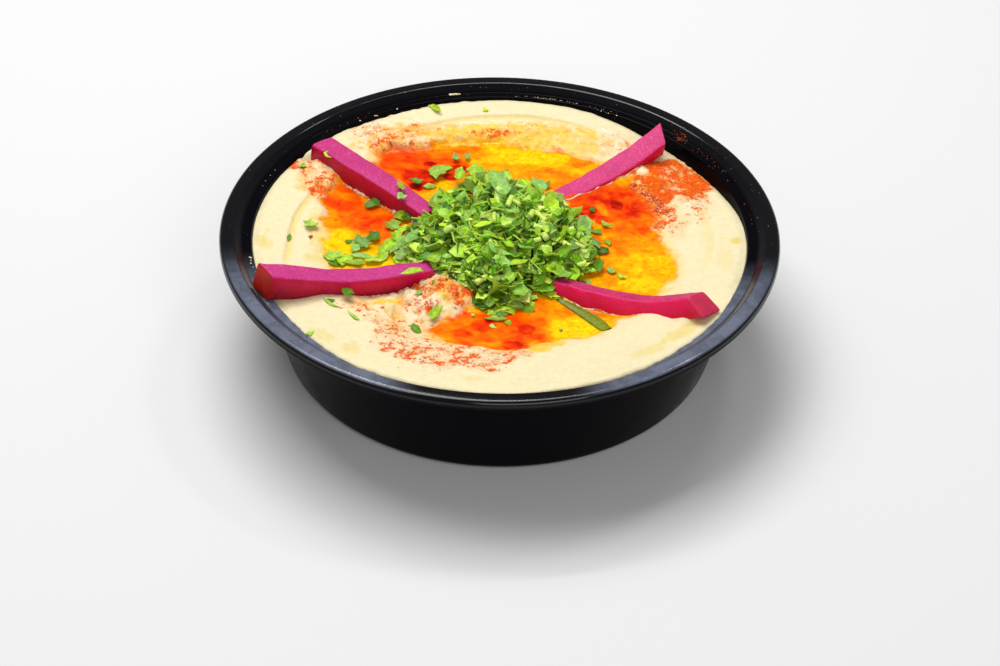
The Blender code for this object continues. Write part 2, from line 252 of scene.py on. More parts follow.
# Lumps of hummus pushed up beside the sticks: x, y, half width, height, in millimetres
SWELLS = [(59.5, -46.5, 5.0, 1.7), (-63, 37, 8.0, 0.8), (-36, -38, 5.0, 1.6), (-44, -40, 5.0, 0.9),
          (-30, -36, 4.0, 0.9), (53, 31, 5.0, 0.7), (60, 42, 6.0, 0.6)]

# The turnip sticks: route from the outer to the inner end, width, height, the inner end's share
# of the section, the top's share of the width, roll at each end in degrees, slant of the outer
# end in plan, and how far its foot leans out.
STICKS = {
    "pickle_1": (((-61.9, 45.7, 42.5), (-44.2, 27.7, 42.9), (-24.0, 9.8, 40.0)),
                 9.8, 8.8, 0.80, 1.0, (5.0, 5.0), 0.0, 0.05),
    "pickle_2": (((55.3, 53.2, 45.2), (43.0, 43.8, 40.7), (30.3, 33.7, 38.7), (17.6, 23.8, 37.8)),
                 8.8, 5.4, 0.77, 1.0, (-12.0, -12.0), -30.0, -0.3),
    "pickle_3": (((-75.2, -37.0, 48.0), (-48.7, -30.0, 42.1), (-22.0, -21.8, 40.9)),
                 8.6, 9.2, 0.74, 1.0, (0.0, 0.0), 22.0, 0.05),
    "pickle_4": (((65.0, -43.6, 47.0), (50.2, -38.6, 41.3), (34.2, -34.6, 41.1),
                  (18.5, -27.0, 40.5)), 9.4, 7.4, 0.76, 0.8, (20.0, 14.0), -14.0, 0.65),
}


def stick_distance(x, y):
    """Distance in plan from each place to the nearest stick's side, below 0 under the stick."""
    nearest = np.full_like(x, 1.0)
    for route, width, height, taper, *_ in STICKS.values():
        knots = np.array(route) * MM
        for place, (start, finish) in enumerate(zip(knots[:-1], knots[1:])):
            run = finish[:2] - start[:2]
            share = ((x - start[0]) * run[0] + (y - start[1]) * run[1]) / run.dot(run)
            share = np.clip(share, 0.0, 1.0)
            gone = (place + share) / (len(knots) - 1)
            half = 0.5 * width * MM * (1.0 + (taper - 1.0) * gone)
            apart = np.hypot(x - start[0] - share * run[0], y - start[1] - share * run[1])
            nearest = np.minimum(nearest, apart - half)
    return nearest


def smooth_route(knots, count):
    """A smooth curve through the knots (Catmull-Rom)."""
    knots = np.array(knots)
    padded = np.vstack([2 * knots[0] - knots[1], knots, 2 * knots[-1] - knots[-2]])
    path = []
    for value in np.linspace(0.0, len(knots) - 1.0001, count):
        part = int(value)
        share = value - part
        a, b, c, d = padded[part:part + 4]
        path.append(0.5 * (2 * b + (c - a) * share + (2 * a - 5 * b + 4 * c - d) * share ** 2
                           + (3 * b - a - 3 * c + d) * share ** 3))
    return np.array(path)


# The hummus's height

# How far the hummus reaches over the ledge, in millimetres, at angles round the bowl
REACH = [(-180, 0), (-152, 0), (-138, 0.8), (-126, 2.4), (-112, 3.3), (-99, 4.5), (-86, 5.2),
         (-77, 4.5), (-66, 3.5), (-54, 2.2), (-42, 1.4), (-27, 0.6), (-16, 0), (180, 0)]


def reach_at(angle):
    return np.interp(angle, [a for a, _ in REACH], [r for _, r in REACH])


def smooth_top(x, y):
    """Height of the hummus before its fine relief, as in the CAD."""
    radius = np.hypot(x, y)
    angle = np.degrees(np.arctan2(y, x))
    edge = ease(0.055, 0.080, radius)
    height = FILL_Z + 1.8 * MM * bump(degrees_from(angle, FRONT), 65.0) * edge
    height = height - 4.2 * MM * bump(degrees_from(angle, 36.0), 40.0) * edge
    height = height - 4.0 * MM * bump(radius - MOAT_R, MOAT_HALF)
    height = height - 1.0 * MM * (1.0 - ease(0.020, MOAT_R, radius))
    height = height + 2.6 * MM * bump(np.hypot(x - MOUND[0], y - MOUND[1]), 17.0 * MM)
    return height - 0.8 * MM * ease(0.0785, LEDGE_IN, radius) * (1.0 - ease(0, 1.5, reach_at(angle)))


def along_line(x, y, line):
    """Signed distance from a smooth line, above 0 on the bowl's middle side, and how far along."""
    path = smooth_route([(px * MM, py * MM, 0.0) for px, py in line], 6 * len(line))[:, :2]
    nearest = np.full_like(x, 1.0)
    signed = np.zeros_like(x)
    gone = np.zeros_like(x)
    for place, (start, finish) in enumerate(zip(path[:-1], path[1:])):
        run = finish - start
        share = np.clip(((x - start[0]) * run[0] + (y - start[1]) * run[1]) / run.dot(run), 0, 1)
        off_x = x - start[0] - share * run[0]
        off_y = y - start[1] - share * run[1]
        apart = np.hypot(off_x, off_y)
        closer = apart < nearest
        middle = -(off_x * (start[0] + finish[0]) + off_y * (start[1] + finish[1]))
        nearest = np.where(closer, apart, nearest)
        signed = np.where(closer, np.sign(middle) * apart, signed)
        gone = np.where(closer, (place + share) / (len(path) - 1), gone)
    return signed, gone


def creases(x, y):
    """Depth in metres and painted tan shade of the spoon's lines: sharp outside, easing inward."""
    depth_all = np.zeros_like(x)
    shade_all = np.zeros_like(x)
    for line, depth, width, shade in CREASES:
        inward, gone = along_line(x, y, line)
        inward = inward + 0.35 * MM * noise(x, y, 9 * MM, 9)
        fade = ease(0.0, 0.22, gone) * (1.0 - ease(0.78, 1.0, gone))
        step = ease(-0.9 * MM, 0.25 * MM, inward) * (1.0 - ease(0.25 * MM, width * MM, inward))
        # The tan is painted shade along the crease
        tan = ease(-0.6 * MM, 0.2 * MM, inward) * (1.0 - ease(0.4 * MM, 0.55 * width * MM, inward))
        depth_all = np.maximum(depth_all, depth * MM * fade * step)
        shade_all = np.maximum(shade_all, shade * fade * tan)
    return depth_all, shade_all


def crumbs(x, y):
    """How rough the hummus is at each place, and its lumps from hollow at -1 to ridge at 1."""
    rough = patches(x, y, ROUGH, 0.2, 6 * MM, 70)
    lumps = 0.55 * (1.0 - np.abs(fractal(x, y, 3.2 * MM, 20, 4)) * 2.2)
    return rough, lumps + 0.45 * (1.0 - np.abs(fractal(x, y, 5.5 * MM, 26, 3)) * 2.2)


def relief(x, y):
    """Fine relief: slow waves, the spoon's ripples, and lumps where the hummus is rough."""
    rough, lumps = crumbs(x, y)
    radius = np.hypot(x, y)
    around = np.arctan2(y, x) * 12 * MM
    ripple = fractal(radius, around, 3.6 * MM, 45, 3) * ease(0.052, 0.064, radius)
    return (0.20 * MM * fractal(x, y, 16 * MM, 5, 3) + 0.15 * MM * ripple
            + 0.030 * MM * fractal(x, y, 1.6 * MM, 7, 2)
            + rough * (0.60 * MM * lumps + 0.26 * MM * fractal(x, y, 1.5 * MM, 30, 3)))


def inside(x, y, outline):
    """Distance within a closed outline in millimetres: above 0 inside, below 0 outside."""
    corners = np.array(outline, float) * MM
    nearest = np.full_like(x, 1.0)
    within = np.zeros(x.shape, bool)
    for start, finish in zip(corners, np.roll(corners, -1, axis=0)):
        run = finish - start
        share = np.clip(((x - start[0]) * run[0] + (y - start[1]) * run[1]) / run.dot(run), 0, 1)
        nearest = np.minimum(nearest, np.hypot(x - start[0] - share * run[0],
                                               y - start[1] - share * run[1]))
        crosses = (start[1] > y) != (finish[1] > y)
        with np.errstate(divide="ignore", invalid="ignore"):
            at = start[0] + (y - start[1]) * run[0] / run[1]
        within ^= crosses & (x < at)
    return np.where(within, nearest, -nearest)


def pool_depth(x, y):
    """Distance inside the nearest pool's ragged edge, in metres."""
    deepest = np.full_like(x, -1.0)
    for outline in POOLS:
        deepest = np.maximum(deepest, inside(x, y, outline))
    return deepest + 1.5 * MM * fractal(x, y, 4.5 * MM, 50, 5)


def hummus_top(x, y):
    """Full height of the hummus, its oil pools and the fillets of oil along the sticks."""
    x = np.asarray(x, float)
    y = np.asarray(y, float)
    radius = np.hypot(x, y)
    height = smooth_top(x, y) - creases(x, y)[0] + relief(x, y)
    for lump_x, lump_y, half, lift in SWELLS:
        from_lump = np.hypot(x - lump_x * MM, y - lump_y * MM)
        height = height + lift * MM * bump(from_lump, half * MM)
    gap = bump(np.hypot(x + 66.0 * MM, y - 42.5 * MM), 4.0 * MM)
    height = height - 5.0 * MM * gap
    oil = ease(-1.2 * MM, 2.0 * MM, pool_depth(x, y))
    level = POOL_Z + 0.09 * MM * fractal(x, y, 4 * MM, 77, 3)
    height = height * (1 - oil) + (0.22 * height + 0.78 * level) * oil
    beside = stick_distance(x, y)
    wavy = 0.55 + 0.45 * noise(x, y, 1.8 * MM, 12)
    fillet = np.exp(-np.clip(beside, 0, None) / (0.55 * MM)) * wavy
    height = height + 0.9 * MM * fillet * (beside > -1.5 * MM) * oil
    angle = np.degrees(np.arctan2(y, x))
    lapped = ease(0.0, 0.8, reach_at(angle))
    crumbly = 0.25 + 0.9 * bump(degrees_from(angle, 118.0), 28.0)
    crumbly = crumbly + 0.4 * bump(degrees_from(angle, 40.0), 40.0)
    rim = ease(LEDGE_IN - 2.5 * MM, LEDGE_IN, radius) * (1.0 - lapped)
    height = height + rim * crumbly * MM * (fractal(x, y, 3.5 * MM, 33, 4) - 0.3)
    short = np.maximum(LEDGE_Z + 0.5 * MM - height, 0.0)
    return height + short * lapped * ease(LEDGE_IN - 7 * MM, LEDGE_IN - 0.8 * MM, radius)


# Making pieces

def new_piece(name, points, faces, smooth=True):
    mesh = bpy.data.meshes.new(name)
    mesh.from_pydata([tuple(p) for p in points], [], faces)
    mesh.validate()
    mesh.update()
    mesh.polygons.foreach_set("use_smooth", [smooth] * len(mesh.polygons))
    piece = bpy.data.objects.new(name, mesh)
    bpy.context.scene.collection.objects.link(piece)
    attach(piece, "root")
    return piece


def add_values(piece, name, values):
    """A number or a colour at each point, for the material to read."""
    values = np.asarray(values, np.float32)
    if values.ndim == 1:
        layer = piece.data.attributes.new(name, "FLOAT", "POINT")
        layer.data.foreach_set("value", values)
    else:
        layer = piece.data.attributes.new(name, "FLOAT_COLOR", "POINT")
        rgba = np.ones((len(values), 4), np.float32)
        rgba[:, :3] = values
        layer.data.foreach_set("color", rgba.ravel())


def linear(red, green, blue):
    """Linear colour from screen values of 0 to 255."""
    return tuple((v / 255 / 12.92) if v < 10.3 else ((v / 255 + 0.055) / 1.055) ** 2.4
                 for v in (red, green, blue))


def mix(first, second, share):
    share = np.asarray(share)[..., None]
    return first * (1 - share) + np.asarray(second) * share


class Nodes:
    """A material's node tree, with short calls for the nodes that the looks need."""

    def __init__(self, name):
        self.material = bpy.data.materials.new(name)
        self.material.use_nodes = True
        self.tree = self.material.node_tree
        self.shader = self.tree.nodes["Principled BSDF"]

    def node(self, kind, **settings):
        made = self.tree.nodes.new(kind)
        for key, value in settings.items():
            setattr(made, key, value)
        return made

    def link(self, source, target):
        self.tree.links.new(source, target)

    def fixed(self, **values):
        for key, value in values.items():
            self.shader.inputs[key.replace("_", " ")].default_value = value

    def coordinates(self, scale=(1, 1, 1)):
        place = self.node("ShaderNodeTexCoord").outputs["Object"]
        if scale == (1, 1, 1):
            return place
        mapping = self.node("ShaderNodeMapping")
        mapping.inputs["Scale"].default_value = scale
        self.link(place, mapping.inputs["Vector"])
        return mapping.outputs["Vector"]

    def noise(self, scale, detail=3.0, roughness=0.55, where=None):
        made = self.node("ShaderNodeTexNoise")
        made.inputs["Scale"].default_value = scale
        made.inputs["Detail"].default_value = detail
        made.inputs["Roughness"].default_value = roughness
        self.link(where or self.coordinates(), made.inputs["Vector"])
        return made.outputs["Fac"]

    def spread(self, value, low, high, out_low=0.0, out_high=1.0):
        made = self.node("ShaderNodeMapRange")
        made.interpolation_type = "SMOOTHSTEP"
        self.link(value, made.inputs["Value"])
        for slot, number in (("From Min", low), ("From Max", high),
                             ("To Min", out_low), ("To Max", out_high)):
            made.inputs[slot].default_value = number
        return made.outputs["Result"]

    def maths(self, operation, first, second):
        made = self.node("ShaderNodeMath", operation=operation)
        for slot, value in zip(made.inputs, (first, second)):
            if isinstance(value, (int, float)):
                slot.default_value = value
            else:
                self.link(value, slot)
        return made.outputs[0]

    def value(self, name):
        return self.node("ShaderNodeAttribute", attribute_name=name).outputs["Fac"]

    def colour(self, name):
        return self.node("ShaderNodeAttribute", attribute_name=name).outputs["Color"]

    def blend(self, share, first, second, blend_type="MIX"):
        made = self.node("ShaderNodeMix", data_type="RGBA", blend_type=blend_type)
        for slot, value in ((0, share), (6, first), (7, second)):
            if isinstance(value, tuple):
                made.inputs[slot].default_value = (*value[:3], 1.0)
            elif isinstance(value, (int, float)):
                made.inputs[slot].default_value = value
            else:
                self.link(value, made.inputs[slot])
        return made.outputs[2]

    def bumped(self, height, strength, distance, below=None):
        made = self.node("ShaderNodeBump")
        made.inputs["Strength"].default_value = strength
        made.inputs["Distance"].default_value = distance
        self.link(height, made.inputs["Height"])
        if below is not None:
            self.link(below, made.inputs["Normal"])
        return made.outputs["Normal"]

    def set(self, socket, source):
        self.link(source, self.shader.inputs[socket])


# The bowl

def fillet(corners, steps=6):
    """An outline from (radius, height, fillet) corners, with each corner made an arc."""
    outline = []
    for place, (radius, height, size) in enumerate(corners):
        here = Vector((radius, height))
        if size == 0.0:
            outline.append(here)
            continue
        before = (Vector(corners[place - 1][:2]) - here).normalized()
        after = (Vector(corners[place + 1][:2]) - here).normalized()
        half = 0.5 * before.angle(after)
        centre = here + (before + after).normalized() * size / math.sin(half)
        start = (here + before * size / math.tan(half) - centre).normalized()
        finish = (here + after * size / math.tan(half) - centre).normalized()
        for step in range(steps + 1):
            outline.append(centre + size * start.slerp(finish, step / steps))
    return outline


def wall_radius(height):
    """Radius of the bowl's inner wall at a height."""
    floor_r = BASE_R - WALL + (LEDGE_IN - BASE_R) / LEDGE_Z * WALL
    return floor_r + (LEDGE_IN - floor_r) * (np.asarray(height) - WALL) / (LEDGE_Z - WALL)


def bowl_outline():
    floor_r = float(wall_radius(WALL))
    return fillet([
        (0.0, WALL, 0.0),
        (floor_r, WALL, CORNER - WALL),
        (LEDGE_IN, LEDGE_Z, 0.45 * MM),
        (LEDGE_OUT, LEDGE_Z, 0.35 * MM),
        (LIP_IN, RIM_Z, 1.1 * MM),
        (RIM_R, RIM_Z, 1.7 * MM),
        (RIM_R, RIM_Z - SKIRT, 0.3 * MM),
        (RIM_R - WALL, RIM_Z - SKIRT, 0.2 * MM),
        (RIM_R - WALL - 0.3 * MM, RIM_Z - WALL, 0.2 * MM),
        (LIP_IN + WALL, RIM_Z - WALL, 0.2 * MM),
        (LEDGE_OUT + WALL, LEDGE_Z - WALL, 0.2 * MM),
        (LEDGE_IN + WALL, LEDGE_Z - WALL, 0.2 * MM),
        (BASE_R, 0.0, CORNER),
        (0.0, 0.0, 0.0),
    ])


def bowl_material():
    """Black plastic: dull outside, polished on the lip and inside, with a film of moisture whose bluish
    grey is a painted reflection.
    """
    look = Nodes("black_plastic_look")
    place = look.coordinates()
    split = look.node("ShaderNodeSeparateXYZ")
    look.link(place, split.inputs[0])
    smear = look.noise(60.0, 5.0, 0.6, look.coordinates((1.0, 1.0, 0.4)))
    streak = look.noise(300.0, 3.0, 0.6)
    front = look.spread(split.outputs["Y"], -0.012, -0.040)
    side = look.spread(look.maths("ABSOLUTE", split.outputs["X"], 0.0), 0.022, 0.040)
    across = look.maths("POWER", split.outputs["X"], 2.0)
    deep = look.maths("POWER", split.outputs["Y"], 2.0)
    radius = look.maths("POWER", look.maths("ADD", across, deep), 0.5)
    high = look.spread(split.outputs["Z"], LEDGE_Z - 0.4 * MM, LEDGE_Z)
    flat = look.spread(radius, RIM_R - 0.3 * MM, RIM_R - 1.0 * MM)
    step = look.spread(look.maths("ABSOLUTE", look.maths("SUBTRACT", radius, LIP_IN - 1.2 * MM), 0.0),
                       1.6 * MM, 1.0 * MM, 1.0, 0.25)
    where = look.maths("MULTIPLY", look.maths("MULTIPLY", front, side), high)
    where = look.maths("MULTIPLY", where, look.maths("MULTIPLY", flat, step))
    film = look.maths("MULTIPLY", look.spread(smear, 0.30, 0.55, 0.62, 1.0), where)
    film = look.maths("MULTIPLY", film, look.spread(streak, 0.30, 0.62, 0.70, 1.0))
    speck = look.spread(look.noise(1100.0, 1.0), 0.76, 0.80)
    speck = look.maths("MULTIPLY", speck, look.spread(split.outputs["Z"], 0.035, 0.041))
    outside = look.spread(radius, RIM_R - 0.9 * MM, RIM_R - 0.2 * MM)
    below = look.spread(split.outputs["Z"], RIM_Z - 1.2 * MM, RIM_Z - 2.6 * MM)
    lean = look.maths("MULTIPLY", split.outputs["Z"], (LEDGE_IN - BASE_R) / LEDGE_Z)
    wall = look.spread(look.maths("SUBTRACT", radius, lean), BASE_R - 0.6 * MM, BASE_R - 0.2 * MM)
    dull = look.maths("MAXIMUM", look.maths("MULTIPLY", outside, below),
                      look.maths("MULTIPLY", wall, below))
    # The moisture film's bluish grey is a painted reflection on the front lip
    base = look.blend(film, (0.0018, 0.0016, 0.0030), (0.150, 0.168, 0.230))
    # Painted reflection: the hummus seen in the inner wall, as olive-brown streaks
    inner = look.spread(look.maths("SUBTRACT", radius, lean), BASE_R - 0.6 * MM, BASE_R - 0.9 * MM)
    inner = look.maths("MULTIPLY", inner, look.spread(streak, 0.35, 0.60, 0.35, 1.0))
    base = look.blend(look.maths("MULTIPLY", inner, below), base, (0.075, 0.058, 0.018))
    look.set("Base Color", look.blend(look.maths("MULTIPLY", speck, 0.30), base, (0.5, 0.5, 0.52)))
    rough = look.spread(look.noise(120.0, 4.0), 0.3, 0.7, 0.16, 0.27)
    look.set("Roughness", look.maths("ADD", rough, look.maths("MULTIPLY", film, 0.14)))
    look.set("Coat Weight", look.maths("SUBTRACT", 0.62, look.maths("MULTIPLY", dull, 0.58)))
    ripple = look.bumped(look.noise(55.0, 2.0), 0.25, 0.0006)
    look.set("Normal", look.bumped(look.noise(900.0, 2.0), 0.10, 0.0002, ripple))
    look.fixed(Specular_IOR_Level=0.02, Coat_Roughness=0.10)
    return look.material


def make_bowl():
    outline = bowl_outline()
    points = []
    faces = []
    rings = outline[1:-1]
    turns = np.linspace(0.0, 2 * math.pi, BOWL_SIDES, endpoint=False)
    for dot in rings:
        for turn in turns:
            points.append((dot.x * math.cos(turn), dot.x * math.sin(turn), dot.y))
    for row in range(len(rings) - 1):
        for side in range(BOWL_SIDES):
            after = (side + 1) % BOWL_SIDES
            low = row * BOWL_SIDES
            faces.append((low + side, low + BOWL_SIDES + side,
                          low + BOWL_SIDES + after, low + after))
    points += [(0.0, 0.0, WALL), (0.0, 0.0, 0.0)]
    last = (len(rings) - 1) * BOWL_SIDES
    for side in range(BOWL_SIDES):
        after = (side + 1) % BOWL_SIDES
        faces.append((len(points) - 2, side, after))
        faces.append((len(points) - 1, last + after, last + side))
    piece = new_piece("bowl_shell", points, faces)
    piece.data.materials.append(bowl_material())
    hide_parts("bowl")


# The hummus piece

CREAM = np.array(linear(241, 228, 184))


def ramp(value, stops):
    """Colour along a list of (value, colour) stops."""
    places = [place for place, _ in stops]
    return np.stack([np.interp(value, places, [colour[channel] for _, colour in stops])
                     for channel in range(3)], axis=-1)


OIL_RAMP = [
    (-0.3, linear(252, 212, 12)), (0.0, linear(250, 184, 0)), (0.25, linear(250, 156, 0)),
    (0.50, linear(250, 122, 0)), (0.75, linear(248, 82, 0)), (1.0, linear(228, 38, 0)),
    (1.3, linear(150, 8, 0)),
]


def hummus_colours(x, y):
    """Colour, wetness and paprika at each point of the hummus."""
    depth = pool_depth(x, y)
    fibres = fractal(x * 0.7 + 0.3 * y, y, 3.0 * MM, 90, 4)
    swirl = np.hypot(x - 30 * MM, y + 12 * MM)
    arcs = fractal(swirl, np.arctan2(y + 12 * MM, x - 30 * MM) * 4 * MM, 2.6 * MM, 97, 3)
    arcs = arcs * (x > 20 * MM) * (np.abs(y + 8 * MM) < 26 * MM)
    heat = patches(x, y, HEAT, 0.40, 5 * MM, 60)
    heat = np.maximum(heat, patches(x, y, DEEP, 0.45, 2.5 * MM, 65))
    threads = fractal(x * 0.6, y, 1.6 * MM, 92, 3)
    flocks = fractal(x, y, 3.2 * MM, 94, 4)
    heat = heat - patches(x, y, BRIGHT, 0.3, 4 * MM, 68) + 0.22 * fibres + 0.34 * arcs
    heat = heat + 0.20 * threads + 0.22 * flocks
    pool = ramp(heat, OIL_RAMP)
    cream = np.tile(CREAM, (len(x), 1)) * (1.0 + 0.02 * fractal(x, y, 9 * MM, 15))[:, None]
    # Painted shade: the creases are tinted tan
    colour = mix(cream, linear(246, 214, 128), creases(x, y)[1])
    colour = mix(colour, linear(230, 206, 98), patches(x, y, GREENISH, 0.5, 3 * MM, 44))
    tan = patches(x, y, PINKISH, 0.5, 3 * MM, 47) * (0.8 + 0.6 * fractal(x, y, 2.0 * MM, 48, 4))
    colour = mix(colour, linear(250, 184, 62), np.clip(0.60 * tan, 0, 0.95))
    rough, lumps = crumbs(x, y)
    # Painted shade in the hollows of the rough hummus, partly the oil and paprika that gather there
    hollow = np.clip(rough, 0, 1) * ease(0.40, -0.10, lumps + 0.4 * fractal(x, y, 1.4 * MM, 36, 2))
    colour = mix(colour, linear(240, 170, 74), 0.60 * hollow)
    # Painted highlight: the ridges of the rough hummus are made paler
    ridge = np.clip(rough, 0, 1) * ease(0.45, 0.85, lumps)
    colour = mix(colour, linear(254, 244, 212), 0.6 * ridge)
    stain = patches(x, y, STAIN, 0.45, 3.5 * MM, 52)
    broken = ease(-0.35, 0.55, fractal(x, y, 2.4 * MM, 55, 4) + stain - 0.45)
    colour = mix(colour, linear(250, 206, 56), 0.85 * stain * broken)
    halo = ease(-4.5 * MM, 0.5 * MM, depth + 1.2 * MM * fibres)
    colour = mix(colour, linear(252, 206, 70), 0.55 * halo * ease(-0.5, 0.5, fibres))
    shown = ease(-1.3 * MM, 1.4 * MM, depth + 2.3 * MM * fractal(x, y, 2.6 * MM, 95, 5))
    colour = mix(colour, pool, shown)
    dust = patches(x, y, DUST, 0.45, 4 * MM, 80)
    dust = dust * (0.95 + 0.40 * fractal(x, y, 4 * MM, 85))
    soft = dust ** 2.8 * (0.92 + 0.80 * fractal(x, y, 2.2 * MM, 88, 5)) * (1.0 - 0.7 * shown)
    colour = mix(colour, linear(244, 134, 8), np.clip(1.0 * soft, 0, 1))
    dust = dust * (1.0 - 0.5 * shown)
    wet = np.maximum(shown, 0.55 * stain)
    return np.clip(colour, 0, 1), wet, np.clip(dust, 0, 1)


def hummus_material():
    """Moist chickpea paste with paprika flecks, glossy under the oil."""
    look = Nodes("hummus_look")
    tint = look.colour("tint")
    wet = look.value("wet")
    dust = look.value("dust")
    fleck = look.noise(1150.0, 3.0, 0.65)
    clump = look.noise(430.0, 4.0, 0.65)
    both = look.maths("ADD", look.maths("MULTIPLY", fleck, 0.35), look.maths("MULTIPLY", clump, 0.65))
    limit = look.maths("SUBTRACT", 0.655, look.maths("MULTIPLY", dust, 0.26))
    powder = look.spread(look.maths("SUBTRACT", both, limit), 0.0, 0.075)
    powder = look.maths("MULTIPLY", powder, look.spread(dust, 0.02, 0.12))
    shade = look.blend(look.spread(look.noise(1400.0, 2.0), 0.35, 0.7),
                       linear(246, 106, 4), linear(218, 54, 0))
    grain = look.spread(look.noise(520.0, 4.0, 0.7), 0.3, 0.75, 0.94, 1.03)
    base = look.blend(1.0, tint, grain, "MULTIPLY")
    pepper = look.spread(look.noise(1250.0, 1.0), 0.735, 0.77)
    base = look.blend(look.maths("MULTIPLY", pepper, 0.35), base, linear(150, 110, 50))
    cloud = look.maths("MULTIPLY", look.spread(look.noise(620.0, 5.0, 0.75), 0.48, 0.60), wet)
    base = look.blend(look.maths("MULTIPLY", cloud, 0.70), base,
                      look.blend(1.0, base, (0.97, 0.60, 0.3), "MULTIPLY"))
    veil = look.maths("MULTIPLY", look.spread(look.noise(430.0, 5.0, 0.75), 0.52, 0.64), wet)
    base = look.blend(look.maths("MULTIPLY", veil, 0.36), base,
                      look.blend(1.0, base, (1.05, 1.9, 1.2), "MULTIPLY"))
    look.set("Base Color", look.blend(look.maths("MULTIPLY", powder, 0.95), base, shade))
    rough = look.spread(wet, 0.2, 0.9, 0.50, 0.10)
    look.set("Roughness", look.maths("ADD", rough, look.maths("MULTIPLY", powder, 0.22)))
    fine = look.noise(700.0, 4.0, 0.65)
    dry = look.spread(wet, 0.3, 0.9, 1.0, 0.25)
    height = look.maths("MULTIPLY", look.maths("ADD", fine, look.maths("MULTIPLY", powder, 0.8)), dry)
    look.set("Normal", look.bumped(height, 0.55, 0.0004))
    look.fixed(Subsurface_Weight=0.16, Subsurface_Scale=0.002, Specular_IOR_Level=0.13)
    look.shader.inputs["Subsurface Radius"].default_value = (1.0, 0.8, 0.5)
    return look.material


def edge_radius(angle, height):
    """Outer radius of the hummus's top: the wall, or out over the ledge at the front."""
    reach = reach_at(angle)
    turn = np.radians(angle)
    ragged = fractal(np.cos(turn) * LEDGE_IN, np.sin(turn) * LEDGE_IN, 2.6 * MM, 40, 4)
    over = ease(0.0, 0.9, reach)
    out = LEDGE_IN + (reach + 0.55 * ragged * (reach < 4.8)) * MM
    out = np.minimum(out, LIP_IN - 0.15 * MM)
    return (wall_radius(height) - 0.05 * MM) * (1 - over) + out * over


def make_hummus():
    angles = np.linspace(-180.0, 180.0, HUMMUS_SPOKES, endpoint=False)
    shares = np.linspace(0.0, 1.0, HUMMUS_RINGS + 1)[1:] ** 0.72
    turns = np.radians(angles)
    rim_height = smooth_top(LEDGE_IN * np.cos(turns), LEDGE_IN * np.sin(turns))
    outer = edge_radius(angles, np.minimum(rim_height, LEDGE_Z))
    reach = np.clip((outer - LEDGE_IN) / MM, 0.0, 1.0)
    radius = shares[:, None] * outer[None, :]
    x = radius * np.cos(turns)
    y = radius * np.sin(turns)
    z = hummus_top(x.ravel(), y.ravel()).reshape(x.shape)
    fall = ease(-1.3 * MM, 0.1 * MM, radius - outer[None, :]) ** 2 * reach[None, :]
    z = z - fall * (z - LEDGE_Z - 0.12 * MM)
    points = [(0.0, 0.0, float(hummus_top(0.0, 0.0)))]
    points += list(zip(x.ravel(), y.ravel(), z.ravel()))
    below = [(outer, np.minimum(z[-1] - 0.3 * MM, LEDGE_Z + 0.05 * MM))]
    for depth in (0.0408, 0.0300, 0.0150, 0.0060):
        level = np.minimum(depth, z[-1] - 1.0 * MM)
        below.append((wall_radius(level) + 0.1 * MM, level))
    below.append((np.full_like(outer, BASE_R - CORNER), np.full_like(outer, WALL)))
    for ring_radius, level in below:
        points += list(zip(ring_radius * np.cos(turns), ring_radius * np.sin(turns), level))
    points.append((0.0, 0.0, WALL))
    rows = HUMMUS_RINGS + len(below)
    faces = [(0, 1 + side, 1 + (side + 1) % HUMMUS_SPOKES) for side in range(HUMMUS_SPOKES)]
    for row in range(rows - 1):
        start = 1 + row * HUMMUS_SPOKES
        for side in range(HUMMUS_SPOKES):
            after = (side + 1) % HUMMUS_SPOKES
            faces.append((start + side, start + HUMMUS_SPOKES + side,
                          start + HUMMUS_SPOKES + after, start + after))
    last = 1 + (rows - 1) * HUMMUS_SPOKES
    for side in range(HUMMUS_SPOKES):
        after = (side + 1) % HUMMUS_SPOKES
        faces.append((len(points) - 1, last + after, last + side))
    piece = new_piece("hummus_surface", points, faces)
    place = np.array(points)
    colour, wet, dust = hummus_colours(place[:, 0], place[:, 1])
    add_values(piece, "tint", colour)
    add_values(piece, "wet", wet)
    add_values(piece, "dust", dust)
    piece.data.materials.append(hummus_material())
    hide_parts("hummus")


# The turnip sticks

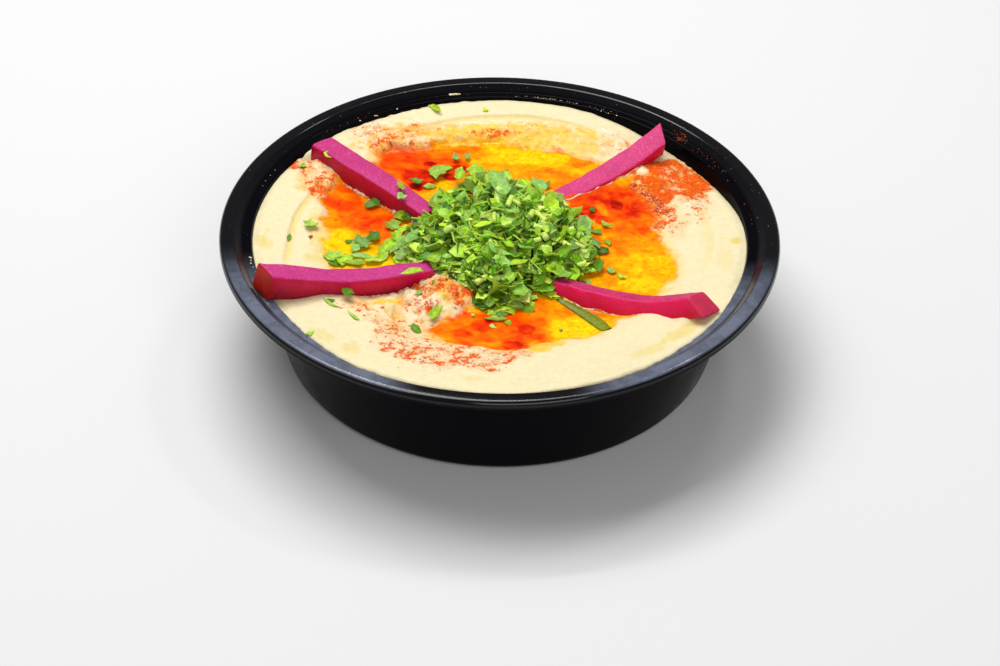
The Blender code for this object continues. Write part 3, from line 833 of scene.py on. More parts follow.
def make_stick(name, spec, seed):
    """One stick: a rounded square section swept along its route, with waves and worn edges."""
    route, width, height, taper, top, rolls, slant, rake = spec
    along_count, round_count = 110, 64
    path = smooth_route(np.array(route) * MM, along_count)
    tangent = np.gradient(path, axis=0)
    tangent /= np.linalg.norm(tangent, axis=1)[:, None]
    side = np.cross(tangent, (0.0, 0.0, 1.0))
    side /= np.linalg.norm(side, axis=1)[:, None]
    side *= -np.sign(side[:, 1:2])
    up = np.cross(side, tangent)
    up *= np.sign(up[:, 2:3])
    lean = np.radians(np.linspace(*rolls, along_count))[:, None]
    near = side * np.cos(lean) + up * np.sin(lean)
    lift = -side * np.sin(lean) + up * np.cos(lean)
    turns = np.linspace(0, 2 * math.pi, round_count, endpoint=False)
    power = 0.27
    across = np.sign(np.cos(turns)) * np.abs(np.cos(turns)) ** power
    upward = np.sign(np.sin(turns)) * np.abs(np.sin(turns)) ** power
    narrow = 1.0 - (1.0 - top) * (0.5 + 0.5 * upward)
    shares = np.linspace(0, 1, along_count)
    points, facing, ends = [], [], []
    outward = -tangent[0]
    for place, share in enumerate(shares):
        size = 1.0 + (taper - 1.0) * share
        wave = 1.0 + 0.035 * noise(share * 6.0, 0.0, 1.0, seed)
        tip = 1.0 - 0.10 * max(0.0, (share - 0.985) / 0.015)
        half_w = 0.5 * width * MM * size * wave * tip
        half_h = 0.5 * height * MM * size * (2.0 - wave) * tip
        ring = (path[place] + near[place] * (across * narrow * half_w)[:, None]
                + lift[place] * (upward * half_h)[:, None])
        shear = math.tan(math.radians(abs(slant))) * (-1.0 if slant else 0.0)
        pull = max(0.0, 1.0 - share / 0.12)
        ring = ring + outward * (pull * (shear * across * half_w - rake * upward * half_h))[:, None]
        points.append(ring)
        facing.append(np.clip(upward * 1.0, -1, 1))
        ends.append(np.full(round_count, share))
    points = np.concatenate(points)
    facing = np.concatenate(facing)
    ends = np.concatenate(ends)
    rough = 0.10 * MM * fractal(points[:, 0] + points[:, 2], points[:, 1], 2.2 * MM, seed + 4, 3)
    rough += 0.26 * MM * noise(points[:, 0] + points[:, 2], points[:, 1], 4.5 * MM, seed + 6)
    middle = np.repeat(path, round_count, axis=0)
    away = points - middle
    points = points + away / np.linalg.norm(away, axis=1)[:, None] * rough[:, None]
    faces = []
    for row in range(along_count - 1):
        for step in range(round_count):
            after = (step + 1) % round_count
            low = row * round_count
            faces.append((low + step, low + after, low + round_count + after,
                          low + round_count + step))
    caps = []
    for row, direction in ((0, outward), (along_count - 1, tangent[-1])):
        first = row * round_count
        ring = points[first:first + round_count]
        centre = ring.mean(axis=0)
        start = len(points) + len(caps)
        inner = [centre + (ring - centre) * part + direction * lift_by * MM
                 for part, lift_by in ((0.93, 0.12), (0.6, 0.2), (0.3, 0.22))]
        caps += [p for level in inner for p in level]
        caps.append(centre + direction * 0.22 * MM)
        loops = [list(range(first, first + round_count))]
        loops += [list(range(start + k * round_count, start + (k + 1) * round_count))
                  for k in range(3)]
        for outer_loop, inner_loop in zip(loops, loops[1:]):
            for step in range(round_count):
                after = (step + 1) % round_count
                quad = (outer_loop[step], inner_loop[step], inner_loop[after], outer_loop[after])
                faces.append(quad if row == 0 else quad[::-1])
        hub = start + 3 * round_count
        for step in range(round_count):
            after = (step + 1) % round_count
            fan = (loops[-1][step], hub, loops[-1][after])
            faces.append(fan if row == 0 else fan[::-1])
    all_points = np.vstack([points, np.array(caps)])
    all_points[:, 2] = np.minimum(all_points[:, 2], TOP_Z)
    facing = np.concatenate([facing, np.full(len(caps), -0.5)])
    ends = np.concatenate([ends, np.full(len(caps), 0.0)])
    cap_flag = np.concatenate([np.zeros(len(points)), np.ones(len(caps))])
    piece = new_piece(name + "_flesh", all_points, faces)
    add_values(piece, "facing", facing)
    add_values(piece, "cut_end", cap_flag)
    add_values(piece, "along", ends)
    return piece


def stick_material(name, top, side, foot, end):
    """Pickled turnip: fine-grained cut top, wet sides whose colour darkens to the foot as painted shade,
    and a cut end.
    """
    look = Nodes(name)
    facing = look.value("facing")
    grain = look.noise(1100.0, 4.0, 0.75)
    blotch = look.noise(170.0, 4.0, 0.6)
    pale = tuple(min(1.0, v * 1.25 + 0.09) for v in top)
    deep = tuple(v * 0.76 for v in top)
    upper = look.blend(look.spread(grain, 0.50, 0.72, 0.0, 0.9), top, pale)
    upper = look.blend(look.spread(grain, 0.46, 0.30, 0.0, 0.7), upper, deep)
    upper = look.blend(look.spread(blotch, 0.40, 0.75, 0.0, 0.6), upper, deep)
    # Painted shade: the sides take the darker foot colour where they face down
    lower = look.blend(look.spread(facing, -1.0, 0.7), foot, side)
    lower = look.blend(look.spread(blotch, 0.35, 0.75, 0.0, 0.3), lower, foot)
    body = look.blend(look.spread(facing, 0.80, 0.985), lower, upper)
    cut_end = look.blend(look.spread(blotch, 0.35, 0.7, 0.0, 0.5), end,
                         tuple(v * 0.6 for v in end))
    near_end = look.spread(look.value("along"), 0.07, 0.0, 0.0, 0.6)
    near_end = look.maths("MULTIPLY", near_end, look.spread(facing, 0.95, 0.6))
    body = look.blend(near_end, body, end)
    look.set("Base Color", look.blend(look.value("cut_end"), body, cut_end))
    look.set("Roughness", look.spread(facing, 0.85, 0.99, 0.20, 0.44))
    look.set("Normal", look.bumped(grain, 0.6, 0.0004))
    look.fixed(Subsurface_Weight=0.22, Subsurface_Scale=0.0025, Specular_IOR_Level=0.22)
    look.shader.inputs["Subsurface Radius"].default_value = (1.0, 0.25, 0.35)
    return look.material


def make_sticks():
    # Colours of each stick: top, side, foot (painted shade on the down-facing sides) and cut end
    looks = {
        "pickle_1": (linear(202, 50, 126), linear(206, 16, 70), linear(158, 8, 42),
                     linear(176, 6, 44)),
        "pickle_2": (linear(218, 56, 126), linear(224, 24, 74), linear(220, 8, 44),
                     linear(212, 58, 126)),
        "pickle_3": (linear(202, 50, 130), linear(222, 12, 84), linear(150, 4, 30),
                     linear(196, 26, 0)),
        "pickle_4": (linear(204, 40, 104), linear(246, 34, 102), linear(220, 16, 50),
                     linear(222, 56, 92)),
    }
    for seed, (name, spec) in enumerate(STICKS.items()):
        piece = make_stick(name, spec, 300 + 10 * seed)
        piece.data.materials.append(stick_material(name + "_look", *looks[name]))
        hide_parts(name)


# The parsley

def tilt_matrix(heading, pitch, roll):
    return np.array(Matrix.Rotation(heading, 3, "Z") @ Matrix.Rotation(pitch, 3, "Y")
                    @ Matrix.Rotation(roll, 3, "X"))


LEAF_GREENS = [
    (linear(140, 184, 24), 3.6), (linear(164, 200, 44), 3.0), (linear(108, 160, 8), 3.2),
    (linear(192, 220, 76), 1.8), (linear(66, 118, 2), 1.9), (linear(214, 230, 124), 0.6),
    (linear(124, 172, 66), 1.7),
]
UNDERSIDE = np.array(linear(158, 198, 86))
LEAF_SIDES = 12
# Reach at each of a leaflet's points, from its tip round: three pointed lobes and a cut foot
LOBES = np.array([1.12, 0.84, 1.0, 0.74, 0.86, 0.66, 0.64, 0.66, 0.86, 0.74, 1.0, 0.84])


def lobed_outline(rng, length, width, cut):
    """Plan of a parsley leaflet with its pointed lobes, deeper with a larger cut."""
    turn = np.linspace(0.0, 2 * math.pi, LEAF_SIDES, endpoint=False)
    reach = LOBES ** cut * rng.uniform(0.76, 1.18, LEAF_SIDES)
    return np.stack([reach * np.cos(turn) * length / 2, reach * np.sin(turn) * width / 1.7], 1)


def torn_outline(rng, length, width):
    """Plan of a chopped scrap: a few sharp corners joined by straight sides."""
    count = int(rng.integers(4, 7))
    turn = (np.arange(count) + rng.uniform(-0.3, 0.3, count)) * 2 * math.pi / count
    reach = rng.uniform(0.70, 1.25, count)
    corners = list(np.stack([reach * np.cos(turn) * length / 2,
                             reach * np.sin(turn) * width / 2], 1))
    while len(corners) < LEAF_SIDES:
        gaps = [np.hypot(*(corners[(k + 1) % len(corners)] - corners[k]))
                for k in range(len(corners))]
        widest = int(np.argmax(gaps))
        middle = 0.5 * (corners[widest] + corners[(widest + 1) % len(corners)])
        corners.insert(widest + 1, middle)
    return np.array(corners)


def leaf_outline(rng, length, width, whole):
    """Plan of one leaf: a leaflet or a scrap, with a straight cut across it unless whole."""
    if rng.random() < (0.65 if whole else 0.35):
        outline = lobed_outline(rng, length, width, 1.25 if whole else 1.0)
    else:
        outline = torn_outline(rng, length, width)
    if not whole:
        lean = rng.uniform(0, 2 * math.pi)
        knife = np.array([math.cos(lean), math.sin(lean)])
        half = abs(knife[0]) * length / 2 + abs(knife[1]) * width / 2
        over = np.clip(outline @ knife - rng.uniform(0.2, 0.8) * half, 0, None)
        outline = outline - over[:, None] * knife
    return outline


class Leaves:
    """Collects chopped leaves into one mesh with a thickness and a colour at each point."""

    def __init__(self, seed):
        self.rng = np.random.default_rng(seed)
        self.points, self.faces, self.colours = [], [], []
        self.count = 0

    def pick_green(self):
        weights = np.array([weight for _, weight in LEAF_GREENS])
        return LEAF_GREENS[self.rng.choice(len(LEAF_GREENS), p=weights / weights.sum())][0]

    def add(self, place, length, width, heading, pitch, roll, green=None, shade=1.0, curl=0.35,
            whole=False):
        """Lay one leaf: outline, folded along its rib and curled, then turned into place."""
        rng = self.rng
        outline = leaf_outline(rng, length, width, whole)
        flat = np.vstack([outline, outline * 0.55, [(0.0, 0.0)]])
        fold = rng.uniform(0.0, 0.5) * rng.choice([-1, 1])
        arch = rng.uniform(-curl, curl) / length
        wave = rng.uniform(0, 6.28)
        lift = (fold * np.abs(flat[:, 1]) + arch * flat[:, 0] ** 2
                + 0.05 * width * np.sin(flat[:, 0] / length * 9 + wave))
        patch = np.column_stack([flat, lift])
        turned = tilt_matrix(heading, pitch, roll)
        points = patch @ turned.T + np.array(place)
        points[:, 2] -= max(0.0, points[:, 2].max() + 0.1 * MM - TOP_Z)
        thick = turned[:, 2] * 0.10 * MM
        green = np.array(self.pick_green() if green is None else green) * rng.uniform(0.72, 1.22)
        pale = 0.45 * UNDERSIDE + 0.55 * green
        sides = (green, pale) if rng.random() < 0.72 else (pale, green)
        rib = np.exp(-np.abs(flat[:, 1]) / (0.10 * width))[:, None]
        mottle = 1 + 0.07 * rng.standard_normal((len(flat), 1))
        self.points += [points + thick, points - thick]
        # Shade darkens the whole leaf: painted shade for leaves lying low in the heap
        self.colours += [shade * side[None, :] * (1.0 + 0.30 * rib) * mottle for side in sides]
        start, size = self.count, len(flat)
        self.count += 2 * size
        hub = start + 2 * LEAF_SIDES
        for side in range(LEAF_SIDES):
            after = (side + 1) % LEAF_SIDES
            inner, next_inner = start + LEAF_SIDES + side, start + LEAF_SIDES + after
            top = [(hub, inner, next_inner), (inner, start + side, start + after, next_inner)]
            self.faces += top
            self.faces += [tuple(v + size for v in face[::-1]) for face in top]
            self.faces.append((start + after, start + side, start + side + size,
                               start + after + size))

    def build(self, name, material):
        piece = new_piece(name, np.concatenate(self.points), self.faces, smooth=False)
        add_values(piece, "tint", np.clip(np.concatenate(self.colours), 0, 1))
        piece.data.materials.append(material)
        return piece


def leaf_material(name, gloss=0.42):
    look = Nodes(name)
    vein = look.noise(900.0, 3.0, 0.6)
    vein_tint = look.blend(1.0, look.colour("tint"), look.spread(vein, 0.3, 0.7, 0.82, 1.22), "MULTIPLY")
    look.set("Base Color", vein_tint)
    look.set("Roughness", look.spread(look.noise(600.0), 0.3, 0.7, gloss - 0.08, gloss + 0.1))
    look.set("Normal", look.bumped(vein, 0.4, 0.0003))
    look.fixed(Subsurface_Weight=0.12, Subsurface_Scale=0.001, Specular_IOR_Level=0.3)
    return look.material


# The heap's outline in plan: direction in degrees and reach in millimetres
HEAP_EDGE = [(-180, 30), (-160, 32), (-145, 27), (-130, 24), (-112, 26), (-95, 34), (-80, 32),
             (-62, 27), (-45, 31), (-25, 33), (-10, 31), (10, 28), (35, 29), (60, 31), (80, 34),
             (100, 37), (120, 33), (140, 31), (160, 30), (180, 30)]


def heap_radius(angle):
    return np.interp(angle, [a for a, _ in HEAP_EDGE], [r for _, r in HEAP_EDGE]) * MM


def heap_height(x, y):
    """Height of the heap's top above the hummus, 0 outside it."""
    from_x = x - HEAP_AT[0]
    from_y = y - HEAP_AT[1]
    angle = np.degrees(np.arctan2(from_y, from_x))
    share = np.clip(np.hypot(from_x, from_y) / heap_radius(angle), 0, 1)
    return HEAP_H * (1.0 - share ** 2) ** 0.7


def make_heap_core():
    """A dark sheet inside the heap, painted shade seen only between the leaves."""
    spokes, rings = 72, 16
    points, faces = [], []
    for ring in range(rings + 1):
        share = 0.86 * ring / rings
        for spoke in range(spokes):
            angle = 360.0 * spoke / spokes - 180.0
            radius = heap_radius(angle) * share
            x = HEAP_AT[0] + radius * math.cos(math.radians(angle))
            y = HEAP_AT[1] + radius * math.sin(math.radians(angle))
            lift = float(heap_height(x, y)) * 0.62
            lift += 0.7 * MM * float(fractal(np.array([x]), np.array([y]), 4 * MM, 130)[0])
            z = float(smooth_top(x, y)) + max(lift, 0.0) * (1 - (ring / rings) ** 6) - 0.3 * MM
            points.append((x, y, z))
    for ring in range(rings):
        for spoke in range(spokes):
            after = (spoke + 1) % spokes
            a = ring * spokes
            faces.append((a + spoke, a + spokes + spoke, a + spokes + after, a + after))
    piece = new_piece("parsley_shade_core", points, faces)
    look = Nodes("parsley_shade_core_look")
    # Painted shade: dark greens for the heap's shaded inside
    look.set("Base Color", look.blend(look.spread(look.noise(500.0, 4.0, 0.7), 0.35, 0.65),
                                      linear(16, 36, 4), linear(70, 108, 16)))
    look.set("Normal", look.bumped(look.noise(700.0, 4.0), 0.8, 0.0008))
    look.fixed(Roughness=0.6)
    piece.data.materials.append(look.material)


# Leaves off the heap, in millimetres and degrees: x, y, height over the hummus, length, width,
# heading, then the colour.
BRIGHT_LEAF = linear(148, 188, 36)
DARK_LEAF = linear(86, 136, 12)
BLUE_LEAF = linear(128, 176, 80)
LIME_LEAF = linear(176, 204, 40)
BROWN_BIT = linear(132, 74, 16)
STRAYS = [
    (-47, -6, 0.9, 8.5, 5.5, 85, BLUE_LEAF), (-42, -2, 1.0, 7, 4.5, 60, DARK_LEAF),
    (-55, -13, 0.8, 9, 5, 60, BRIGHT_LEAF), (-54, -16, 0.5, 6, 3, 10, DARK_LEAF),
    (-48, -15, 1.0, 9, 5, 10, BRIGHT_LEAF), (-45, -12, 1.2, 8, 3, -8, BLUE_LEAF),
    (-38, -12, 1.0, 6, 4, 50, BRIGHT_LEAF), (-29, -7, 5.5, 14, 4.5, 62, BLUE_LEAF),
    (-34, -8, 2.2, 13, 5.5, 66, BLUE_LEAF), (-37, -7, 1.2, 11, 4.5, 58, BRIGHT_LEAF),
    (-32, -13, 2.4, 8, 5, 30, DARK_LEAF), (-51, -14, 1.0, 10, 5.5, 38, BRIGHT_LEAF),
    (-45, -5, 1.2, 9, 5, 120, BLUE_LEAF), (-41, -14, 1.0, 7, 4, 0, LIME_LEAF),
    (-34, -3, 2.0, 6, 4, 100, BRIGHT_LEAF), (-36, 5, 1.0, 7, 5, 40, BRIGHT_LEAF),
    (-33, 10, 2.0, 8, 5, 70, BRIGHT_LEAF), (-50, -3, 0.6, 5, 3, 20, DARK_LEAF),
    (-63, 2.0, 0.7, 6.5, 4.5, 30, BRIGHT_LEAF), (-62.4, -3.4, 0.2, 2.4, 1.3, 80, BROWN_BIT), (-69.6, -5, 0.4, 3.6, 1.4, 80, DARK_LEAF),
    (-22, 36, 2.2, 9, 7, 30, BRIGHT_LEAF), (-28, 31, 1.2, 6, 3, 160, DARK_LEAF),
    (-20, 40, 1.2, 6, 4, 0, BRIGHT_LEAF), (-16, 46, 1.4, 4.5, 3, 110, BLUE_LEAF),
    (-12, 46.5, 1.4, 4.5, 2.5, 60, BLUE_LEAF), (-24, 29, 1.2, 6, 3.4, 20, BRIGHT_LEAF),
    (-14, 31, 4.0, 8, 4, 80, BRIGHT_LEAF), (-9, 35, 3.4, 8, 6, 100, BRIGHT_LEAF),
    (1, 38, 1.2, 4, 3, 60, BLUE_LEAF), (-3, 36, 1.6, 5, 3, 30, LIME_LEAF),
    (3, 31, 3.4, 9, 2.4, 120, LIME_LEAF), (0, 15, 10.2, 18, 6.4, 112, BLUE_LEAF),
    (16, 30, 1.2, 4.4, 3, 10, DARK_LEAF), (13, 21, 5.0, 9, 5, 120, BLUE_LEAF),
    (25, 14, 2.0, 7, 4, 40, BRIGHT_LEAF), (29, 9, 1.6, 7, 4.5, 140, BLUE_LEAF),
    (35, 8, 0.8, 5, 3, -20, BRIGHT_LEAF), (33, 4, 1.0, 5, 3, 10, DARK_LEAF),
    (31, -3, 2.0, 8, 5, -60, BLUE_LEAF), (33, -15, 1.8, 10, 3, 75, DARK_LEAF),
    (37, -17, 0.9, 5, 3, 120, BLUE_LEAF), (40, -20, 0.7, 4, 2.5, -30, LIME_LEAF),
    (28, -19, 1.8, 9, 3.4, 10, BRIGHT_LEAF), (18, -25, 1.4, 6, 5, 60, DARK_LEAF),
    (24, -28, 0.8, 7, 3, -40, BRIGHT_LEAF), (16, -31, 0.8, 7, 3, -30, LIME_LEAF),
    (10, -33, 1.2, 6, 3, 15, BRIGHT_LEAF), (3, -36, 1.6, 9, 5, 20, BRIGHT_LEAF),
    (-1, -40, 1.0, 8.5, 2.4, 5, LIME_LEAF), (3, -45.5, 0.6, 3, 2.4, 70, LIME_LEAF),
    (-8, -42, 0.6, 2.2, 1.4, 0, LIME_LEAF), (-20, -43, 1.0, 9, 3.2, 70, BRIGHT_LEAF),
    (-26, -50.5, 1.0, 7, 3.8, 105, DARK_LEAF), (-25.5, -33.5, 0.5, 3, 1.8, 80, DARK_LEAF),
    (-16, -23, 2.2, 11, 1.8, 55, LIME_LEAF), (-12, -24, 2.0, 5, 3.4, 20, LIME_LEAF),
    (-53, -41, 0.5, 8, 1.5, -42, BRIGHT_LEAF), (-46, -47, 0.5, 8, 1.6, -50, BRIGHT_LEAF),
    (-54, -39, 0.4, 4, 2.2, 0, DARK_LEAF), (-59, -57.5, 0.4, 3.4, 2, 50, BRIGHT_LEAF),
    (-68, 35.5, 0.4, 3, 2.4, 0, LIME_LEAF), (-6, 73.5, 0.4, 2.4, 2, 60, LIME_LEAF),
    (-23.5, 73.5, 0.7, 9.5, 2.6, -62, LIME_LEAF), (20, -49, 0.3, 1.6, 1, 0, DARK_LEAF),
    (11, -36, 0.5, 3, 2, 60, LIME_LEAF), (-43, 18, 1.6, 6.5, 4.5, 55, DARK_LEAF),
]
# The same for leaves on the sticks, with the height in the frame instead
ON_STICKS = [
    (-33.5, 18.5, 47.3, 7, 2.6, 110, BRIGHT_LEAF), (-33.5, 13.5, 46.6, 4, 3.4, 10, BLUE_LEAF),
    (-58.5, 37, 46.6, 5, 2.6, -30, LIME_LEAF), (19.5, 21, 43.4, 4.6, 3.4, 0, BLUE_LEAF),
    (-27.5, -27.5, 46.0, 9, 2.8, 20, BRIGHT_LEAF), (-48.5, -36.8, 43.6, 4.5, 4, 60, DARK_LEAF),
    (20.5, -27.5, 45.4, 7, 4.5, 20, DARK_LEAF), (18, -25.5, 45.8, 8, 5, -30, BRIGHT_LEAF),
    (-21.5, -20.5, 46.4, 8, 4.6, 60, BRIGHT_LEAF), (-24.5, -19.5, 46.0, 7, 4, 20, DARK_LEAF),
]


def make_leaves():
    """The heap's chopped leaves, thinning out past its edge, and the leaves scattered round it."""
    leaves = Leaves(11)
    rng = leaves.rng
    for _ in range(1080):
        angle = rng.uniform(-180, 180)
        share = math.sqrt(rng.random()) * (1.0 if rng.random() < 0.86 else rng.uniform(1.0, 1.34))
        radius = float(heap_radius(angle)) * share
        x = HEAP_AT[0] + radius * math.cos(math.radians(angle))
        y = HEAP_AT[1] + radius * math.sin(math.radians(angle))
        full = float(heap_height(x, y)) * (1.0 + 0.18 * float(noise(x, y, 9 * MM, 150)))
        depth = rng.random() ** 0.7
        z = float(smooth_top(x, y)) + 0.7 * MM + full * (0.60 + 0.42 * depth)
        length = rng.choice([rng.uniform(2.4, 4.2), rng.uniform(4.2, 6.8), rng.uniform(6.8, 10.5)],
                            p=[0.32, 0.44, 0.24]) * MM
        width = length * rng.uniform(0.38, 0.90)
        slope = 0.50 if share < 0.88 else 0.20
        # Leaves lower in the heap get a smaller shade: painted shade between the leaves
        leaves.add((x, y, z), length, width, rng.uniform(0, 6.28), rng.normal(0, slope),
                   rng.normal(0, slope) + 0.15, shade=0.26 + 0.98 * depth)
    for x, y, lift, length, width, heading, green in STRAYS:
        z = float(hummus_top(x * MM, y * MM)) + lift * MM
        leaves.add((x * MM, y * MM, z), length * MM, width * MM, math.radians(heading),
                   rng.normal(0, 0.10), rng.normal(0.05, 0.12), green, curl=0.25,
                   whole=6 < length < 12 and width > 3)
    for x, y, z, length, width, heading, green in ON_STICKS:
        leaves.add((x * MM, y * MM, z * MM), length * MM, width * MM, math.radians(heading),
                   rng.normal(0, 0.05), rng.normal(0.1, 0.08), green, curl=0.15)
    piece = leaves.build("parsley_leaves", leaf_material("parsley_leaf_look"))
    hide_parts("parsley_heap")


def make_sunk_leaf():
    """The long blade that lies half sunk in the oil at the front right."""
    path = smooth_route([(19.0 * MM, -32.5 * MM, 0), (26.0 * MM, -38.5 * MM, 0),
                         (31.5 * MM, -44.5 * MM, 0), (35.0 * MM, -50.0 * MM, 0)], 24)
    run = np.gradient(path[:, :2], axis=0)
    side = np.stack([-run[:, 1], run[:, 0]], 1) / np.hypot(run[:, 0], run[:, 1])[:, None]
    share = np.linspace(0, 1, len(path))
    half = (1.3 + 1.7 * share) * MM * np.sqrt(np.clip(np.sin(np.pi * (0.10 + 0.86 * share)), 0.02, 1))
    across = np.linspace(-1, 1, 7)
    plan = path[:, None, :2] + side[:, None, :] * (half[:, None] * across)[..., None]
    flat = plan.reshape(-1, 2)
    z = hummus_top(flat[:, 0], flat[:, 1]) + 0.25 * MM
    z = z + (0.35 * MM * (1 - np.abs(across))[None, :] * np.ones((len(path), 1))).ravel()
    upper = np.column_stack([flat, z])
    points = np.vstack([upper, upper - (0.0, 0.0, 0.22 * MM)])
    size, width = len(upper), len(across)
    faces = []
    for row in range(len(path) - 1):
        for column in range(width - 1):
            a = row * width + column
            quad = (a, a + 1, a + width + 1, a + width)
            faces += [quad[::-1], tuple(v + size for v in quad)]
    border = ([row * width for row in range(len(path))]
              + [(len(path) - 1) * width + c for c in range(1, width)]
              + [row * width + width - 1 for row in range(len(path) - 2, -1, -1)]
              + list(range(width - 2, 0, -1)))
    faces += [(first, second, second + size, first + size)
              for first, second in zip(border, border[1:] + border[:1])]
    piece = new_piece("parsley_sunk_leaf", points, faces)
    rib = np.tile(np.exp(-np.abs(across) * 5), len(path))
    tint = mix(np.tile(linear(118, 132, 8), (size, 1)), linear(150, 156, 22), 0.3 * rib)
    tint = tint * np.repeat(0.75 + 0.35 * share, width)[:, None]
    add_values(piece, "tint", np.vstack([tint, tint]))
    piece.data.materials.append(leaf_material("sunk_leaf_look", 0.34))


def make_stems():
    """Short cut pieces of parsley stalk, lying on and in the heap."""
    rng = np.random.default_rng(17)
    points, faces, colours = [], [], []
    sides = 8
    for number in range(96):
        angle = rng.normal(-10, 70) if number < 22 else rng.uniform(-180, 180)
        radius = float(heap_radius(angle)) * math.sqrt(rng.random()) * 0.95
        x = HEAP_AT[0] + radius * math.cos(math.radians(angle))
        y = HEAP_AT[1] + radius * math.sin(math.radians(angle))
        lift = rng.uniform(1.0, 1.10) if number < 22 else rng.uniform(0.86, 1.06)
        z = float(smooth_top(x, y)) + 1.1 * MM + float(heap_height(x, y)) * lift
        large = number < 22
        length = (rng.uniform(2.2, 5.0) if large else rng.uniform(3.0, 8.0)) * MM
        thick = (rng.uniform(0.7, 1.15) if large else rng.uniform(0.25, 0.42)) * MM
        turn = tilt_matrix(rng.uniform(0, 6.28), rng.normal(0, 0.22), 0.0)
        green = np.array(linear(206, 230, 104) if large else linear(168, 204, 60))
        green = green * rng.uniform(0.8, 1.15)
        pale = np.array(linear(226, 236, 152))
        start = len(points)
        stem = []
        bow = rng.uniform(-0.12, 0.12) * length
        for share in (0.0, 0.02, 0.35, 0.65, 0.98, 1.0):
            narrow = 0.94 if share in (0.0, 1.0) else 1.0
            for side in range(sides):
                around = 2 * math.pi * side / sides
                dot = np.array([(share - 0.5) * length, math.cos(around) * thick * narrow,
                                math.sin(around) * thick * narrow * 0.85
                                + bow * math.sin(math.pi * share)])
                stem.append(turn @ dot + (x, y, z))
                colours.append(pale if share in (0.0, 1.0) else green)
        stem = np.array(stem)
        stem[:, 2] -= max(0.0, stem[:, 2].max() - TOP_Z)
        points += list(stem)
        for row in range(5):
            for side in range(sides):
                after = (side + 1) % sides
                a = start + row * sides
                faces.append((a + side, a + after, a + sides + after, a + sides + side))
        faces.append(tuple(range(start + sides - 1, start - 1, -1)))
        faces.append(tuple(range(start + 5 * sides, start + 6 * sides)))
    piece = new_piece("parsley_stems", points, faces)
    add_values(piece, "tint", np.clip(np.array(colours), 0, 1))
    piece.data.materials.append(leaf_material("parsley_stem_look", 0.38))


# Grains, crumbs and beads

def blob_mesh(name, places, sizes, rng, squash=0.7, ball=None):
    """Many small uneven balls in one mesh."""
    ball_points, ball_faces = ball
    points, faces = [], []
    for place, size in zip(places, sizes):
        start = len(points)
        turn = tilt_matrix(*rng.uniform(0, 6.28, 3))
        shape = ball_points * rng.uniform(0.65, 1.25, (len(ball_points), 1))
        shape = shape @ turn.T * np.array([1, 1, squash]) * size
        points += list(shape + place)
        faces += [tuple(v + start for v in face) for face in ball_faces]
    return new_piece(name, points, faces)


def octahedron():
    points = np.array([(1, 0, 0), (-1, 0, 0), (0, 1, 0), (0, -1, 0), (0, 0, 1), (0, 0, -1)], float)
    faces = [(0, 2, 4), (2, 1, 4), (1, 3, 4), (3, 0, 4), (2, 0, 5), (1, 2, 5), (3, 1, 5), (0, 3, 5)]
    return points, faces


def round_ball(rings=5, spokes=8):
    points = [(0.0, 0.0, 1.0)]
    for ring in range(1, rings):
        tilt = math.pi * ring / rings
        points += [(math.sin(tilt) * math.cos(2 * math.pi * s / spokes),
                    math.sin(tilt) * math.sin(2 * math.pi * s / spokes), math.cos(tilt))
                   for s in range(spokes)]
    points.append((0.0, 0.0, -1.0))
    faces = [(0, 1 + s, 1 + (s + 1) % spokes) for s in range(spokes)]
    for ring in range(rings - 2):
        a = 1 + ring * spokes
        faces += [(a + s, a + spokes + s, a + spokes + (s + 1) % spokes, a + (s + 1) % spokes)
                  for s in range(spokes)]
    last = 1 + (rings - 2) * spokes
    faces += [(len(points) - 1, last + (s + 1) % spokes, last + s) for s in range(spokes)]
    return np.array(points), faces


# Paprika spilt on the rim: direction and spread in degrees, reach from and to, number of grains
RIM_PAPRIKA = [(42.5, 0.9, 83.6, 86.2, 34), (44.0, 2.0, 85.2, 88.0, 8), (33.0, 5.0, 82.4, 85.6, 16),
               (27.0, 5.0, 83.0, 90.0, 7), (8.0, 2.4, 84.0, 86.6, 7), (14.0, 12.0, 82.6, 91.0, 7),
               (128.0, 5.0, 82.4, 84.4, 8)]


def make_grains():
    """Loose paprika grains where the powder lies, and a few flecks on the rim at the right."""
    rng = np.random.default_rng(23)
    tries = 60000
    x = rng.uniform(-80, 80, tries) * MM
    y = rng.uniform(-80, 80, tries) * MM
    dust = patches(x, y, DUST, 0.45, 4 * MM, 80)
    inside = np.hypot(x, y) < 80 * MM
    clump = 0.5 + 0.5 * fractal(x, y, 2.5 * MM, 140)
    keep = inside & (rng.random(tries) < 0.5 * dust ** 1.5 * clump) & (stick_distance(x, y) > 0)
    x, y = x[keep], y[keep]
    z = hummus_top(x, y) + 0.04 * MM
    sizes = rng.uniform(0.08, 0.24, len(x)) * MM
    grains = np.stack([x, y, z], 1)
    for middle, spread, low, high, count in RIM_PAPRIKA:
        turn = np.radians(rng.normal(middle, spread, count))
        reach = rng.uniform(low, high, count) * MM
        height = np.interp(reach, [LEDGE_OUT, LIP_IN], [LEDGE_Z, RIM_Z]) + 0.03 * MM
        grains = np.vstack([grains, np.stack([reach * np.cos(turn), reach * np.sin(turn), height], 1)])
        sizes = np.append(sizes, rng.uniform(0.10, 0.26, count) * MM)
    piece = blob_mesh("paprika_grains", grains, sizes, rng, 0.7, octahedron())
    look = Nodes("paprika_grain_look")
    look.set("Base Color", look.blend(look.spread(look.noise(800.0), 0.35, 0.65),
                                      linear(212, 56, 4), linear(246, 122, 26)))
    look.set("Roughness", look.spread(look.noise(900.0), 0.3, 0.7, 0.55, 0.8))
    piece.data.materials.append(look.material)


